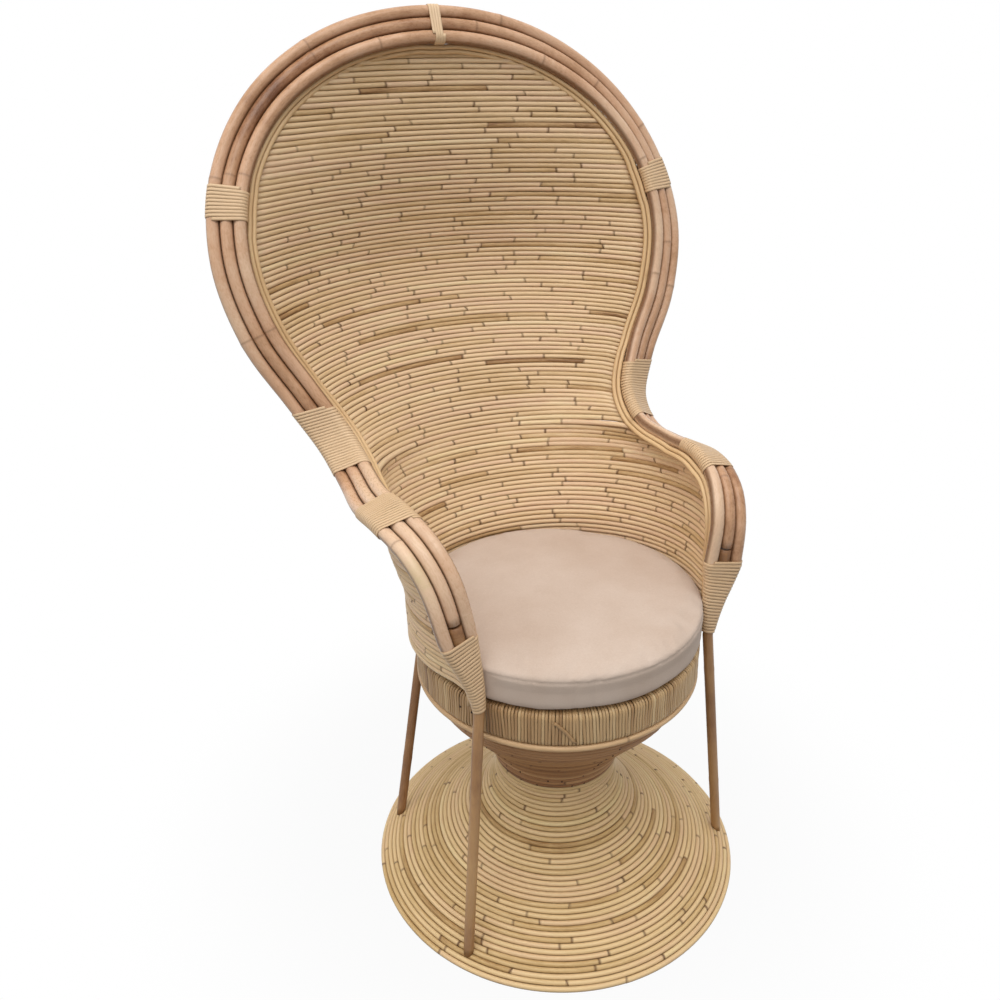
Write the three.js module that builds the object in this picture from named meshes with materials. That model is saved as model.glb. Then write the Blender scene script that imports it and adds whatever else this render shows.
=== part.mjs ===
// A peacock chair: an hourglass of pencil cane and bent poles with a loose round seat cushion.
// Millimetres, +Z up. Everything is built round the seat's upright axis, with the front towards -Y,
// and the whole chair is set at the end so that the origin is under the middle of its box.
import * as THREE from 'three';

// Sizes and looks that several kinds of piece share
const touch_gap = 0.3;
const cane_rod = 8;
const wall_half = cane_rod / 2;
const round_steps = 24;
const half_turn = Math.PI;
const full_turn = 2 * half_turn;
const cane_look = { color: 0xd8bd88, roughness: 0.55, metalness: 0 };
const pole_look = { color: 0xc49a72, roughness: 0.45, metalness: 0 };
const strip_look = { color: 0xdcc6a0, roughness: 0.5, metalness: 0 };
const leg_look = { color: 0x8a6547, roughness: 0.55, metalness: 0 };
const hidden_look = { color: 0xa98a62, roughness: 0.65, metalness: 0 };
const cloth_look = { color: 0xcdb8a8, roughness: 0.95, metalness: 0 };

// Skirt
const base_radius = 300;
const neck_radius = 94.5;
const neck_height = 178;
const rim_height = 5;
const rim_radius = base_radius - wall_half;
const skirt_spread_shares = [1, 0.795, 0.58, 0.369, 0.175, 0.038, 0];
const skirt_rise_shares = [0, 0.158, 0.3, 0.441, 0.616, 0.834, 1];

// Seat drum
const band_radius = 218;
const band_bottom = 380;
const band_top = 436;
const band_depth = 22;
const band_corner = 7;
const band_sheet = 2;
const seat_pole_radius = 10;
const ring_rod_radius = 4.5;
const ring_rod_line = band_radius - band_corner;
const seat_pole_line = band_radius - band_sheet - seat_pole_radius - touch_gap;
const upper_pole_height = band_top - band_sheet - seat_pole_radius - touch_gap;
const lower_pole_height = band_bottom + band_sheet + seat_pole_radius + touch_gap;
const ring_rod_height = band_bottom - touch_gap - ring_rod_radius;

// Flare under the seat
const flare_inset = 16;
const flare_radius = band_radius - flare_inset;
const flare_top = band_bottom - touch_gap;
const flare_spread_shares = [0, 0.023, 0.126, 0.358, 0.637, 0.87, 1];
const flare_rise_shares = [0, 0.139, 0.283, 0.461, 0.64, 0.793, 1];

// Deck and its bearers
const deck_thickness = 8;
const bearer_radius = 7;
const bearer_pitch = 90;
const bearer_sides = 6;
const deck_radius = band_radius - band_depth - touch_gap;
const deck_bottom = band_top - deck_thickness;

// Hidden frame of the base
const rib_gap = 0.6;
const floor_pole_radius = 8;
const neck_pole_radius = 5;
const base_rib_radius = 6;
const base_rib_count = 6;
const base_rib_sides = 5;
const base_rib_depth = wall_half + rib_gap + base_rib_radius;
const floor_pole_depth = wall_half + touch_gap + floor_pole_radius;
const base_rib_flat = base_rib_radius * Math.cos(half_turn / base_rib_sides);
const neck_pole_line = neck_radius - base_rib_depth - base_rib_flat - 2 * touch_gap - neck_pole_radius;
const hoop_sides = 8;

// Frame poles. The middle pole's line is given at places down one side, from the top of the back:
// sideways and backwards, in the head as shares of the frame's width and reach and in the arm of
// the band's radius, and upwards as shares of the rise over the band. The row is the direction in
// which the poles lie side by side.
const frame_half_width = 369;
const frame_reach = 427;
const frame_top = 1280;
const frame_rise = frame_top - band_top;
const head_line_shares = [
  [0, 1, 1], [0.419, 0.984, 0.969], [0.743, 0.929, 0.886], [0.938, 0.841, 0.769], [1, 0.749, 0.635],
  [0.94, 0.681, 0.507], [0.811, 0.622, 0.401],
];
const arm_line_shares = [
  [1.206, 1.037, 0.322], [1.16, 0.746, 0.281], [1.178, 0.373, 0.276], [1.158, -0.01, 0.284],
  [1.092, -0.318, 0.266], [1.026, -0.485, 0.22],
];
const pole_row_shares = [
  [0, 0.42, 0.91], [0.35, 0.43, 0.83], [0.67, 0.48, 0.57], [0.87, 0.44, 0.22], [0.97, 0.23, -0.09],
  [0.92, 0.1, -0.38], [0.83, 0.13, -0.54], [0.8, 0.2, -0.57], [0.81, 0.14, -0.56],
  [0.88, -0.01, -0.47], [0.91, -0.12, -0.4], [0.93, -0.1, -0.34], [0.98, -0.04, -0.17],
  [0.97, -0.2, -0.1], [0.97, -0.25, 0], [0.97, -0.25, 0],
];
const arm_index = head_line_shares.length + arm_line_shares.length - 1;
const binding_index = arm_index + 1;
const leg_index = arm_index + 2;
const foot_index = arm_index + 3;
const tip_index = leg_index - 0.5;
const middle_pole_index = binding_index - 0.25;
const pole_sides = 8;
const pole_radius = 9.5;
const pole_pitch = 2 * pole_radius + touch_gap;

// Front legs, by side: how far round from the front each one stands at its foot and its top
const leg_radius = 8;
const leg_lap = 6;
const leg_lean = 12;
const binding_lean = 25;
const binding_rise_share = 0.617;
const leg_top = band_top - leg_lap;
const leg_ring = band_radius + leg_lean;
const binding_ring = band_radius + binding_lean;
const foot_inset = 20;
const foot_ring = base_radius - foot_inset;
const foot_gap = 0.5;
const front_legs = {
  left: { side: -1, foot_angle: radians(54.3), top_angle: radians(54.2) },
  right: { side: 1, foot_angle: radians(65.7), top_angle: radians(61.5) },
};
const tip_radius = 4.4;
const tip_pitch = leg_radius + tip_radius + 2 * touch_gap;

// Edge rods, and how far they are tucked behind the inner pole, place by place
const edge_rod_radius = 3.75;
const edge_rod_sides = 5;
const strip_room = 3.1;
const edge_rod_reach = pole_radius + strip_room + edge_rod_radius;
const edge_rod_pitch = 2 * edge_rod_radius + touch_gap;
const tuck_degrees = [50, 51, 48, 48, 38, 38, 58, 60, 67, 71, 70, 76, 82, 94, 112, 112];

// Back wall. Its middle line is given from the top: backwards, in the head as shares of the back's
// depth and lower down of the band's radius, and upwards as shares of the rise over the band. The
// rows cross the back higher or lower than they meet the edge, place by place.
const back_depth = 470;
const head_back_shares = [
  [0.923, 0.953], [0.94, 0.799], [0.987, 0.645], [1, 0.568], [0.949, 0.496], [0.783, 0.372], [0.704, 0.301],
];
const seat_back_shares = [[1.4, 0.228], [1.208, 0.152], [1.057, 0.093]];
const wall_room = 9;
const wall_upright = 44;
const wall_radius = band_radius + wall_room;
const wall_foot = band_top + wall_upright;
const wall_bottom = leg_top;
const wall_edge_room = 4;
const wall_edge_half = 1.2;
const wall_edge_reach = edge_rod_reach + edge_rod_pitch + edge_rod_radius + wall_edge_room;
const wall_column_count = 14;
const back_line_steps = 200;
const row_rise_shares = [
  0, 0.003, 0.006, 0.012, 0.012, 0.009, 0.006, 0, -0.025, -0.027, -0.041, -0.059, -0.059, -0.036, 0, 0,
];

// Back ribs and rear legs
const back_rib_radius = 7;
const back_rib_sides = 5;
const back_rib_spread_share = 0.436;
const back_rib_pitch = band_radius * back_rib_spread_share;
const rear_leg_across_shares = { left: 0.36, right: 0.64 };
const rear_foot_inset = 27;
const rear_foot_ring = base_radius - rear_foot_inset;
const rear_foot_angle = radians(122.3);

// Bindings
const strip_width = 6.2;
const strip_pitch = 7;
const strip_thickness = 1.2;
const strip_gap = 0.9;
const leg_binding_half = leg_radius + strip_gap;
const corner_share = Math.tan(half_turn / 8);
const loop_corners = 8;
const binding_loops = { upper: 8, waist: 17, arm: 13 };
const binding_start_shares = { upper: 0.363, waist: 0.648, arm: 0.847 };
const top_loops = 3;
const leg_loops = 15;

// Cushion
const cushion_inset = 8;
const cushion_radius = band_radius - cushion_inset;
const cushion_height = 55;
const cushion_crown = 11;
const cushion_seam = 4;
const cushion_round = 12;
const cushion_bottom = band_top + touch_gap;

const chair = new THREE.Group();

function radians(degrees) {
  return degrees * half_turn / 180;
}

function mix(a, b, share) {
  return a + (b - a) * share;
}

// Reads a list of numbers at a place that may lie between two of them
function read_between(list, place) {
  const low = Math.min(Math.floor(place), list.length - 2);
  return mix(list[low], list[low + 1], place - low);
}

// A point at a radius and a height, at an angle round the seat's axis from the front towards +X
function around(radius, angle, height) {
  return new THREE.Vector3(radius * Math.sin(angle), -radius * Math.cos(angle), height);
}

function signed_volume(positions, faces) {
  const corner = k => new THREE.Vector3().fromArray(positions, 3 * faces[k]);
  let volume = 0;
  for (let k = 0; k < faces.length; k += 3) {
    volume += corner(k).dot(corner(k + 1).cross(corner(k + 2)));
  }
  return volume;
}

// A closed body from points and triangles, with its faces turned outwards
function body(points, faces) {
  const positions = points.flatMap(point => point.toArray());
  if (signed_volume(positions, faces) < 0) {
    faces.reverse();
  }
  const geometry = new THREE.BufferGeometry();
  geometry.setAttribute('position', new THREE.Float32BufferAttribute(positions, 3));
  geometry.setIndex(faces);
  geometry.computeVertexNormals();
  return geometry;
}

// One closed tube through rings that all have the same number of corners
function tube(rings) {
  const sides = rings[0].length;
  const faces = [];
  for (let i = 0; i + 1 < rings.length; i += 1) {
    for (let k = 0; k < sides; k += 1) {
      const a = i * sides + k;
      const b = i * sides + (k + 1) % sides;
      faces.push(a, b, b + sides, a, b + sides, a + sides);
    }
  }
  const last = (rings.length - 1) * sides;
  for (let k = 1; k + 1 < sides; k += 1) {
    faces.push(0, k + 1, k);
    faces.push(last, last + k, last + k + 1);
  }
  return body(rings.flat(), faces);
}

// A ring of corners round a centre, in the plane of two directions
function ring(centre, across, upward, radius, sides) {
  const corners = [];
  for (let k = 0; k < sides; k += 1) {
    const angle = full_turn * k / sides;
    corners.push(centre.clone()
      .addScaledVector(across, radius * Math.cos(angle))
      .addScaledVector(upward, radius * Math.sin(angle)));
  }
  return corners;
}

// The rings of a rod along points, with the first corner of each square to one common direction
function rod_rings(points, sideways, radius, sides) {
  return points.map((point, k) => {
    const before = points[Math.max(k - 1, 0)];
    const after = points[Math.min(k + 1, points.length - 1)];
    const along = after.clone().sub(before).normalize();
    const upward = along.clone().cross(sideways).normalize();
    return ring(point, upward, upward.clone().cross(along), radius, sides);
  });
}

// A body of revolution about the seat's axis from [radius, height] points
function turned(outline) {
  const points = outline.map(([radius, height]) => new THREE.Vector2(radius, height));
  const geometry = new THREE.LatheGeometry(points, round_steps);
  geometry.rotateX(half_turn / 2);
  const faces = Array.from(geometry.index.array);
  if (signed_volume(geometry.attributes.position.array, faces) < 0) {
    geometry.setIndex(faces.reverse());
  }
  return geometry;
}

// Moves an open [radius, height] line to the right of its travel, with mitred corners
function beside(line, distance) {
  return line.map(([radius, height], k) => {
    const before = line[Math.max(k - 1, 0)];
    const after = line[Math.min(k + 1, line.length - 1)];
    const rights = [[before, line[k]], [line[k], after]]
      .map(([a, b]) => new THREE.Vector2(b[1] - a[1], a[0] - b[0]))
      .filter(right => right.length() > 0)
      .map(right => right.normalize());
    const middle = rights.reduce((sum, right) => sum.clone().add(right)).normalize();
    const reach = distance / middle.dot(rights[0]);
    return [radius + middle.x * reach, height + middle.y * reach];
  });
}

// The closed outline of a wall of stacked cane, one rod thick, that follows a line
function wall_outline(line, lowest, highest) {
  const outline = [...beside(line, wall_half), ...beside(line, -wall_half).reverse()]
    .map(([radius, height]) => [radius, THREE.MathUtils.clamp(height, lowest, highest)]);
  return [...outline, outline[0]];
}

// A hoop about the seat's axis, with a corner of its section at the lowest point
function hoop(radius, height, pole_radius) {
  const outline = [];
  for (let k = 0; k < hoop_sides; k += 1) {
    const angle = full_turn * k / hoop_sides;
    outline.push([radius + pole_radius * Math.sin(angle), height - pole_radius * Math.cos(angle)]);
  }
  return turned([...outline, outline[0]]);
}

function add(name, geometry, look) {
  const mesh = new THREE.Mesh(geometry, new THREE.MeshStandardMaterial(look));
  mesh.name = name;
  chair.add(mesh);
}

// Skirt: rings of pencil cane that form a bell from the floor up to the narrow neck
const skirt_line = skirt_spread_shares.map((spread, k) => [
  mix(neck_radius, rim_radius, spread),
  mix(rim_height, neck_height, skirt_rise_shares[k]),
]);
const full_skirt_line = [[rim_radius, 0], ...skirt_line];

add('base_skirt', turned(wall_outline(full_skirt_line, 0, neck_height - touch_gap / 2)), cane_look);

// Seat drum: two stacked hoops inside a band of wound cane strip, with a thin ring rod below.
// The band's section is open towards the middle, where the bearers pass into it
function band_outline() {
  const mouth = band_radius - band_depth;
  const half_corner = band_corner / 2;
  const quarter = radius => [
    [radius, band_corner], [radius - half_corner, half_corner / 2], [radius - band_corner, 0],
  ];
  const outside = quarter(band_radius);
  const inside = quarter(band_radius - band_sheet);
  const face = [
    [mouth, band_bottom],
    ...outside.toReversed().map(([radius, in_by]) => [radius, band_bottom + in_by]),
    ...outside.map(([radius, in_by]) => [radius, band_top - in_by]),
    [mouth, band_top],
  ];
  const lining = [
    [mouth, band_top - band_sheet],
    ...inside.toReversed().map(([radius, in_by]) => [radius, band_top - band_sheet - in_by]),
    ...inside.map(([radius, in_by]) => [radius, band_bottom + band_sheet + in_by]),
    [mouth, band_bottom + band_sheet],
  ];
  return [...face, ...lining, face[0]];
}

add('seat_band', turned(band_outline()), strip_look);
add('seat_pole_upper', hoop(seat_pole_line, upper_pole_height, seat_pole_radius), hidden_look);
add('seat_pole_lower', hoop(seat_pole_line, lower_pole_height, seat_pole_radius), hidden_look);
add('seat_ring_rod', hoop(ring_rod_line, ring_rod_height, ring_rod_radius), cane_look);

// Flare: the same rings of cane again, from the neck out to the underside of the drum
const flare_line = flare_spread_shares.map((spread, k) => [
  mix(neck_radius, flare_radius, spread),
  mix(neck_height, flare_top, flare_rise_shares[k]),
]);

add('under_seat_flare', turned(wall_outline(flare_line, neck_height + touch_gap / 2, flare_top)), cane_look);

// Deck that the cushion lies on, and the bearers that carry it from side to side of the drum
function bearer(across) {
  const height = deck_bottom - touch_gap - bearer_radius;
  const room = (seat_pole_line - seat_pole_radius) * Math.cos(half_turn / round_steps) - touch_gap;
  const reach = Math.sqrt(room ** 2 - (Math.abs(across) + bearer_radius) ** 2);
  const ends = [-reach, reach].map(x => new THREE.Vector3(x, across, height));
  return tube(rod_rings(ends, new THREE.Vector3(0, 1, 0), bearer_radius, bearer_sides));
}

const deck_outline = [[0, deck_bottom], [deck_radius, deck_bottom], [deck_radius, band_top], [0, band_top]];

add('seat_deck', turned(deck_outline), hidden_look);
for (const place of [-1, 0, 1]) {
  add(`deck_bearer_${place + 2}`, bearer(place * bearer_pitch), hidden_look);
}

// Hidden frame of the base: a hoop on the floor, a hoop in the neck, and bent ribs that the rings
// of cane are nailed to
const rim_slope = new THREE.Vector2(
  skirt_line[1][0] - skirt_line[0][0],
  skirt_line[1][1] - skirt_line[0][1],
).normalize();
const floor_pole_line = rim_radius
  + ((floor_pole_radius - rim_height) * rim_slope.x - floor_pole_depth) / rim_slope.y;

// A rib starts at the floor hoop and ends under the drum, against the inside of both walls
function base_rib(angle) {
  const line = beside([...skirt_line, ...flare_line.slice(1)], -base_rib_depth);
  const clear = floor_pole_radius + 2 * rib_gap;
  const lift = floor_pole_depth - base_rib_depth;
  line[0] = [
    floor_pole_line + rim_slope.x * clear + rim_slope.y * lift,
    floor_pole_radius + rim_slope.y * clear - rim_slope.x * lift,
  ];
  const end = line.length - 1;
  const top = flare_top - base_rib_radius;
  const share = (top - line[end - 1][1]) / (line[end][1] - line[end - 1][1]);
  line[end] = [mix(line[end - 1][0], line[end][0], share), top];
  const points = line.map(([radius, height]) => around(radius, angle, height));
  const sideways = new THREE.Vector3(-Math.cos(angle), -Math.sin(angle), 0);
  return tube(rod_rings(points, sideways, base_rib_radius, base_rib_sides));
}

add('floor_hoop', hoop(floor_pole_line, floor_pole_radius, floor_pole_radius), hidden_look);
add('neck_hoop', hoop(neck_pole_line, neck_height, neck_pole_radius), hidden_look);
for (let k = 0; k < base_rib_count; k += 1) {
  add(`base_rib_${k + 1}`, base_rib(full_turn * k / base_rib_count), hidden_look);
}

// Frame: three poles side by side that run from one front leg over the back to the other leg

// The height of the skirt's faceted outer face under a point
function skirt_height(x, y) {
  const step = full_turn / round_steps;
  const turn = Math.atan2(x, -y) + full_turn;
  const from_middle = turn % step - step / 2;
  const radius = Math.hypot(x, y) * Math.cos(from_middle) / Math.cos(step / 2);
  const face = beside(full_skirt_line, wall_half);
  const k = face.findIndex(([face_radius]) => face_radius < radius);
  const share = (radius - face[k - 1][0]) / (face[k][0] - face[k - 1][0]);
  return mix(face[k - 1][1], face[k][1], share);
}

// Cuts the end of a leg so that all of it stands on the skirt
function cut_to_skirt(corners) {
  return corners.map(({ x, y }) => new THREE.Vector3(x, y, skirt_height(x, y) + foot_gap));
}

function frame_points(leg) {
  const place = ([sideways, backwards, upwards], width, depth) => new THREE.Vector3(
    sideways * width, backwards * depth, band_top + upwards * frame_rise,
  );
  const points = [
    ...head_line_shares.map(shares => place(shares, frame_half_width, frame_reach)),
    ...arm_line_shares.map(shares => place(shares, band_radius, band_radius)),
  ];
  const arm_end = points[arm_index];
  const arm_angle = Math.atan2(arm_end.x, -arm_end.y);
  const binding_top = mix(leg_top, arm_end.z, binding_rise_share);
  const foot = around(foot_ring, leg.foot_angle, 0);
  points.push(around(binding_ring, (arm_angle + leg.top_angle) / 2, binding_top));
  points.push(around(leg_ring, leg.top_angle, leg_top));
  points.push(foot.setZ(skirt_height(foot.x, foot.y)));
  const lead_in = points[1].clone().multiply(new THREE.Vector3(-1, 1, 1));
  return [lead_in, ...points].map(point => point.setX(leg.side * point.x));
}

// How far the outer poles lie from the middle one, and how thick they are, where they taper
function pole_offset(place) {
  if (place <= tip_index) {
    return mix(pole_pitch, tip_pitch, Math.max(0, place - binding_index) / (tip_index - binding_index));
  }
  return mix(tip_pitch, leg_radius, (place - tip_index) / (leg_index - tip_index));
}

function pole_size(place) {
  const share = THREE.MathUtils.clamp((place - binding_index) / (tip_index - binding_index), 0, 1);
  return mix(pole_radius, tip_radius, share);
}

// Stations down one side of the frame: where it is, its directions and its length from the top
function frame_stations(leg) {
  const points = frame_points(leg);
  const line = new THREE.CatmullRomCurve3(points, false, 'centripetal');
  const rows = pole_row_shares.map(([x, y, z]) => new THREE.Vector3(leg.side * x, y, z));
  const row_line = new THREE.CatmullRomCurve3(rows, false, 'catmullrom');
  const places = [0, 0.25];
  for (let place = 0.5; place <= foot_index; place += 0.5) {
    places.push(place);
  }
  let length = 0;
  return places.map((place, k) => {
    const t = (place + 1) / (points.length - 1);
    const centre = line.getPoint(t);
    const along = line.getTangent(t);
    const row = row_line.getPoint(place / (rows.length - 1));
    row.addScaledVector(along, -row.dot(along)).normalize();
    const front = along.clone().cross(row).multiplyScalar(leg.side);
    const tuck = radians(read_between(tuck_degrees, place));
    const behind = row.clone().multiplyScalar(-Math.cos(tuck)).addScaledVector(front, -Math.sin(tuck));
    if (k > 0) {
      length += centre.distanceTo(line.getPoint((places[k - 1] + 1) / (points.length - 1)));
    }
    return { place, centre, along, row, front, behind, length };
  });
}

const sides = Object.fromEntries(Object.entries(front_legs).map(
  ([name, leg]) => [name, { leg, stations: frame_stations(leg) }],
));

// A station between two others, along the straight line between their sections
function station_between(stations, key, value) {
  const next = Math.max(1, stations.findIndex(station => station[key] >= value));
  const [a, b] = [stations[next - 1], stations[next]];
  const share = (value - a[key]) / (b[key] - a[key]);
  const blend = name => a[name].clone().lerp(b[name], share);
  return {
    place: mix(a.place, b.place, share),
    length: mix(a.length, b.length, share),
    centre: blend('centre'),
    row: blend('row'),
    front: blend('front'),
    behind: blend('behind'),
  };
}

// A length below zero lies on the other side of the top
function station_at_length(name, length) {
  const other = name === 'left' ? 'right' : 'left';
  return length < 0
    ? station_between(sides[other].stations, 'length', -length)
    : station_between(sides[name].stations, 'length', length);
}

function pole_ring(station, row_share) {
  const centre = station.centre.clone().addScaledVector(station.row, row_share * pole_offset(station.place));
  if (station.place === 0) {
    centre.x += Math.sign(station.side) * touch_gap / 2;
  }
  const radius = row_share === 0 ? pole_radius : pole_size(station.place);
  return ring(centre, station.row, station.front, radius, pole_sides);
}

function frame_pole(side, row_share) {
  const end = row_share === 0 ? middle_pole_index : tip_index;
  const { leg, stations } = side;
  const run = stations.filter(station => station.place < end);
  run.push(station_between(stations, 'place', end));
  return tube(run.map(station => pole_ring({ ...station, side: leg.side }, row_share)));
}

for (const [name, side] of Object.entries(sides)) {
  add(`frame_pole_outer_${name}`, frame_pole(side, 1), pole_look);
  add(`frame_pole_middle_${name}`, frame_pole(side, 0), pole_look);
  add(`frame_pole_inner_${name}`, frame_pole(side, -1), pole_look);
}

// Front legs: each starts inside its binding, between the poles, and runs down to the skirt
function front_leg({ stations }) {
  const run = stations.filter(station => station.place >= binding_index);
  const rings = run.map(({ centre, row, front }) => ring(centre, row, front, leg_radius, pole_sides));
  rings.push(cut_to_skirt(rings.pop()));
  return tube(rings);
}

for (const [name, side] of Object.entries(sides)) {
  add(`front_leg_${name}`, front_leg(side), leg_look);
}

// Edge rods: two thin canes behind the inner pole, over the cut ends of the back's rods
function behind_pole(station, reach) {
  return station.centre.clone()
    .addScaledVector(station.row, -pole_offset(station.place))
    .addScaledVector(station.behind, reach);
}

function edge_rod(reach) {
  const rings = Object.fromEntries(Object.entries(sides).map(([name, { stations }]) => [
    name,
    stations.filter(station => station.place <= leg_index).map(station => ring(
      behind_pole(station, reach), station.row, station.front, edge_rod_radius, edge_rod_sides,
    )),
  ]));
  return tube([...rings.left.reverse(), ...rings.right.slice(1)]);
}

add('edge_rod_outer', edge_rod(edge_rod_reach), cane_look);
add('edge_rod_inner', edge_rod(edge_rod_reach + edge_rod_pitch), cane_look);

// Back wall: stacked rods of pencil cane. Each row is an arc from edge to edge through a point of
// the back's middle line.
function along_back([depth, rise], reach) {
  return new THREE.Vector3(0, depth * reach, band_top + rise * frame_rise);
}

const back_line = new THREE.CatmullRomCurve3([
  ...head_back_shares.map(shares => along_back(shares, back_depth)),
  ...seat_back_shares.map(shares => along_back(shares, band_radius)),
  new THREE.Vector3(0, wall_radius, wall_foot),
  new THREE.Vector3(0, wall_radius, wall_bottom),
]).getPoints(back_line_steps);

function back_point(height) {
  const found = back_line.findIndex(point => point.z <= height);
  const next = found < 0 ? back_line_steps : Math.max(1, found);
  const [a, b] = [back_line[next - 1], back_line[next]];
  return a.clone().lerp(b, (height - a.z) / (b.z - a.z));
}

// Evenly spaced points on the round arc from a through b to c
function arc(a, b, c, steps) {
  const ab = b.clone().sub(a);
  const ac = c.clone().sub(a);
  const axis = ab.clone().cross(ac);
  const to_centre = axis.clone().cross(ab).multiplyScalar(ac.lengthSq())
    .add(ac.clone().cross(axis).multiplyScalar(ab.lengthSq()))
    .divideScalar(2 * axis.lengthSq());
  const centre = a.clone().add(to_centre);
  const start = a.clone().sub(centre);
  axis.normalize();
  const end = c.clone().sub(centre);
  const side = axis.clone().cross(start);
  const sweep = (Math.atan2(end.dot(side), end.dot(start)) + full_turn) % full_turn;
  const points = [];
  for (let k = 0; k <= steps; k += 1) {
    points.push(centre.clone().add(start.clone().applyAxisAngle(axis, sweep * k / steps)));
  }
  return points;
}

const wall_stations = sides.left.stations
  .map((left, k) => ({ left, right: sides.right.stations[k] }))
  .filter(({ left }) => left.place > 0 && left.place <= leg_index);

const wall_grid = wall_stations.map(({ left, right }) => {
  const from = behind_pole(left, wall_edge_reach);
  const to = behind_pole(right, wall_edge_reach);
  const rise = frame_rise * read_between(row_rise_shares, left.place);
  const bottom = left.place === leg_index;
  const height = bottom ? wall_bottom : (from.z + to.z) / 2 + rise;
  return arc(from, back_point(height), to, wall_column_count);
});

// The direction out of the wall's back face at a place of the grid
function wall_outward(i, k) {
  const column = wall_grid[i];
  const across = column[Math.min(k + 1, wall_column_count)].clone().sub(column[Math.max(k - 1, 0)]);
  const above = wall_grid[Math.max(i - 1, 0)][k];
  const below = wall_grid[Math.min(i + 1, wall_grid.length - 1)][k];
  return across.cross(below.clone().sub(above)).normalize();
}

function wall_point(i, k, distance) {
  return wall_grid[i][k].clone().addScaledVector(wall_outward(i, k), distance);
}

function back_wall() {
  const across = wall_column_count + 1;
  const half = k => (k % wall_column_count === 0 ? wall_edge_half : wall_half);
  const layer = sign => wall_grid.flatMap((row, i) => row.map((_, k) => wall_point(i, k, sign * half(k))));
  const inner_from = wall_grid.length * across;
  const faces = [];
  const quad = (a, b, c, d) => faces.push(a, b, c, a, c, d);
  for (let i = 0; i + 1 < wall_grid.length; i += 1) {
    for (let k = 0; k < wall_column_count; k += 1) {
      const a = i * across + k;
      quad(a, a + 1, a + 1 + across, a + across);
      quad(inner_from + a, inner_from + a + across, inner_from + a + 1 + across, inner_from + a + 1);
    }
    for (const [edge, turned_over] of [[i * across, false], [i * across + wall_column_count, true]]) {
      const corners = [edge, edge + across, inner_from + edge + across, inner_from + edge];
      quad(...(turned_over ? corners.reverse() : corners));
    }
  }
  const bottom = (wall_grid.length - 1) * across;
  for (let k = 0; k < wall_column_count; k += 1) {
    quad(k, inner_from + k, inner_from + k + 1, k + 1);
    quad(bottom + k, bottom + k + 1, inner_from + bottom + k + 1, inner_from + bottom + k);
  }
  return body([...layer(1), ...layer(-1)], faces);
}

add('back_wall', back_wall(), cane_look);

// Back ribs: three upright poles behind the wall, which its rods are nailed to
const back_rib_start = wall_stations.findIndex(({ left }) => left.place === 1);

function back_rib(across) {
  const points = [];
  for (let i = back_rib_start; i < wall_grid.length; i += 1) {
    const row = wall_grid[i].map((_, k) => wall_point(i, k, wall_half + rib_gap + back_rib_radius));
    const next = row.findIndex(point => point.x >= across);
    const [a, b] = [row[next - 1], row[next]];
    points.push(a.clone().lerp(b, (across - a.x) / (b.x - a.x)));
  }
  return tube(rod_rings(points, new THREE.Vector3(1, 0, 0), back_rib_radius, back_rib_sides));
}

for (const place of [-1, 0, 1]) {
  add(`back_rib_${place + 2}`, back_rib(place * back_rib_pitch), hidden_look);
}

// Rear legs: rods from the skirt to the foot of the back wall, where they lie against its outside
const rear_leg_row = wall_stations.findIndex(({ left }) => left.place === tip_index);

function rear_leg(name, across_share) {
  const column = Math.round(across_share * wall_column_count);
  const foot = around(rear_foot_ring, front_legs[name].side * rear_foot_angle, 0);
  foot.z = skirt_height(foot.x, foot.y);
  const lapped = [wall_grid.length - 1, rear_leg_row]
    .map(row => wall_point(row, column, wall_half + rib_gap + leg_radius));
  const rings = rod_rings([foot, ...lapped], new THREE.Vector3(1, 0, 0), leg_radius, pole_sides);
  return tube([cut_to_skirt(rings[0]), ...rings.slice(1)]);
}

for (const [name, across_share] of Object.entries(rear_leg_across_shares)) {
  add(`rear_leg_${name}`, rear_leg(name, across_share), leg_look);
}

// Bindings: cane strip wound round the three poles, one unbroken strip in each place.
// Half the length and half the height of a winding's outline round the poles
function binding_halves(place) {
  const half_height = Math.max(pole_size(place), leg_radius) + strip_gap;
  const at_tip = pole_offset(Math.min(place, tip_index)) + pole_size(place) + strip_gap;
  const below = Math.max(0, (place - tip_index) / (leg_index - tip_index));
  return [mix(at_tip, leg_binding_half, below), half_height];
}

function binding_corner(name, length, corner, grow) {
  const station = station_at_length(name, length);
  const [half_length, half_height] = binding_halves(station.place).map(half => half + grow);
  const end = half_length - half_height * (1 - corner_share);
  const low = half_height * corner_share;
  const corners = [
    [end, half_height], [half_length, low], [half_length, -low], [end, -half_height],
    [-end, -half_height], [-half_length, -low], [-half_length, low], [-end, half_height],
  ];
  const [across, forward] = corners[corner % corners.length];
  return station.centre.clone()
    .addScaledVector(station.row, across)
    .addScaledVector(station.front, forward);
}

// The least gap between neighbouring turns, measured corner by corner
function least_gap(rings) {
  let least = Infinity;
  for (let k = 0; k + loop_corners < rings.length; k += 1) {
    least = Math.min(least, rings[k][1].distanceTo(rings[k + loop_corners][0]));
  }
  return least;
}

function binding(name, start, loops) {
  const rings = [];
  for (let k = 0; k <= loops * loop_corners; k += 1) {
    const length = start + strip_width / 2 + strip_pitch * k / loop_corners;
    rings.push([
      binding_corner(name, length - strip_width / 2, k, 0),
      binding_corner(name, length + strip_width / 2, k, 0),
      binding_corner(name, length, k, strip_thickness),
    ]);
  }
  console.log(`least gap between turns ${least_gap(rings).toFixed(2)} mm`);
  return tube(rings);
}

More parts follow.
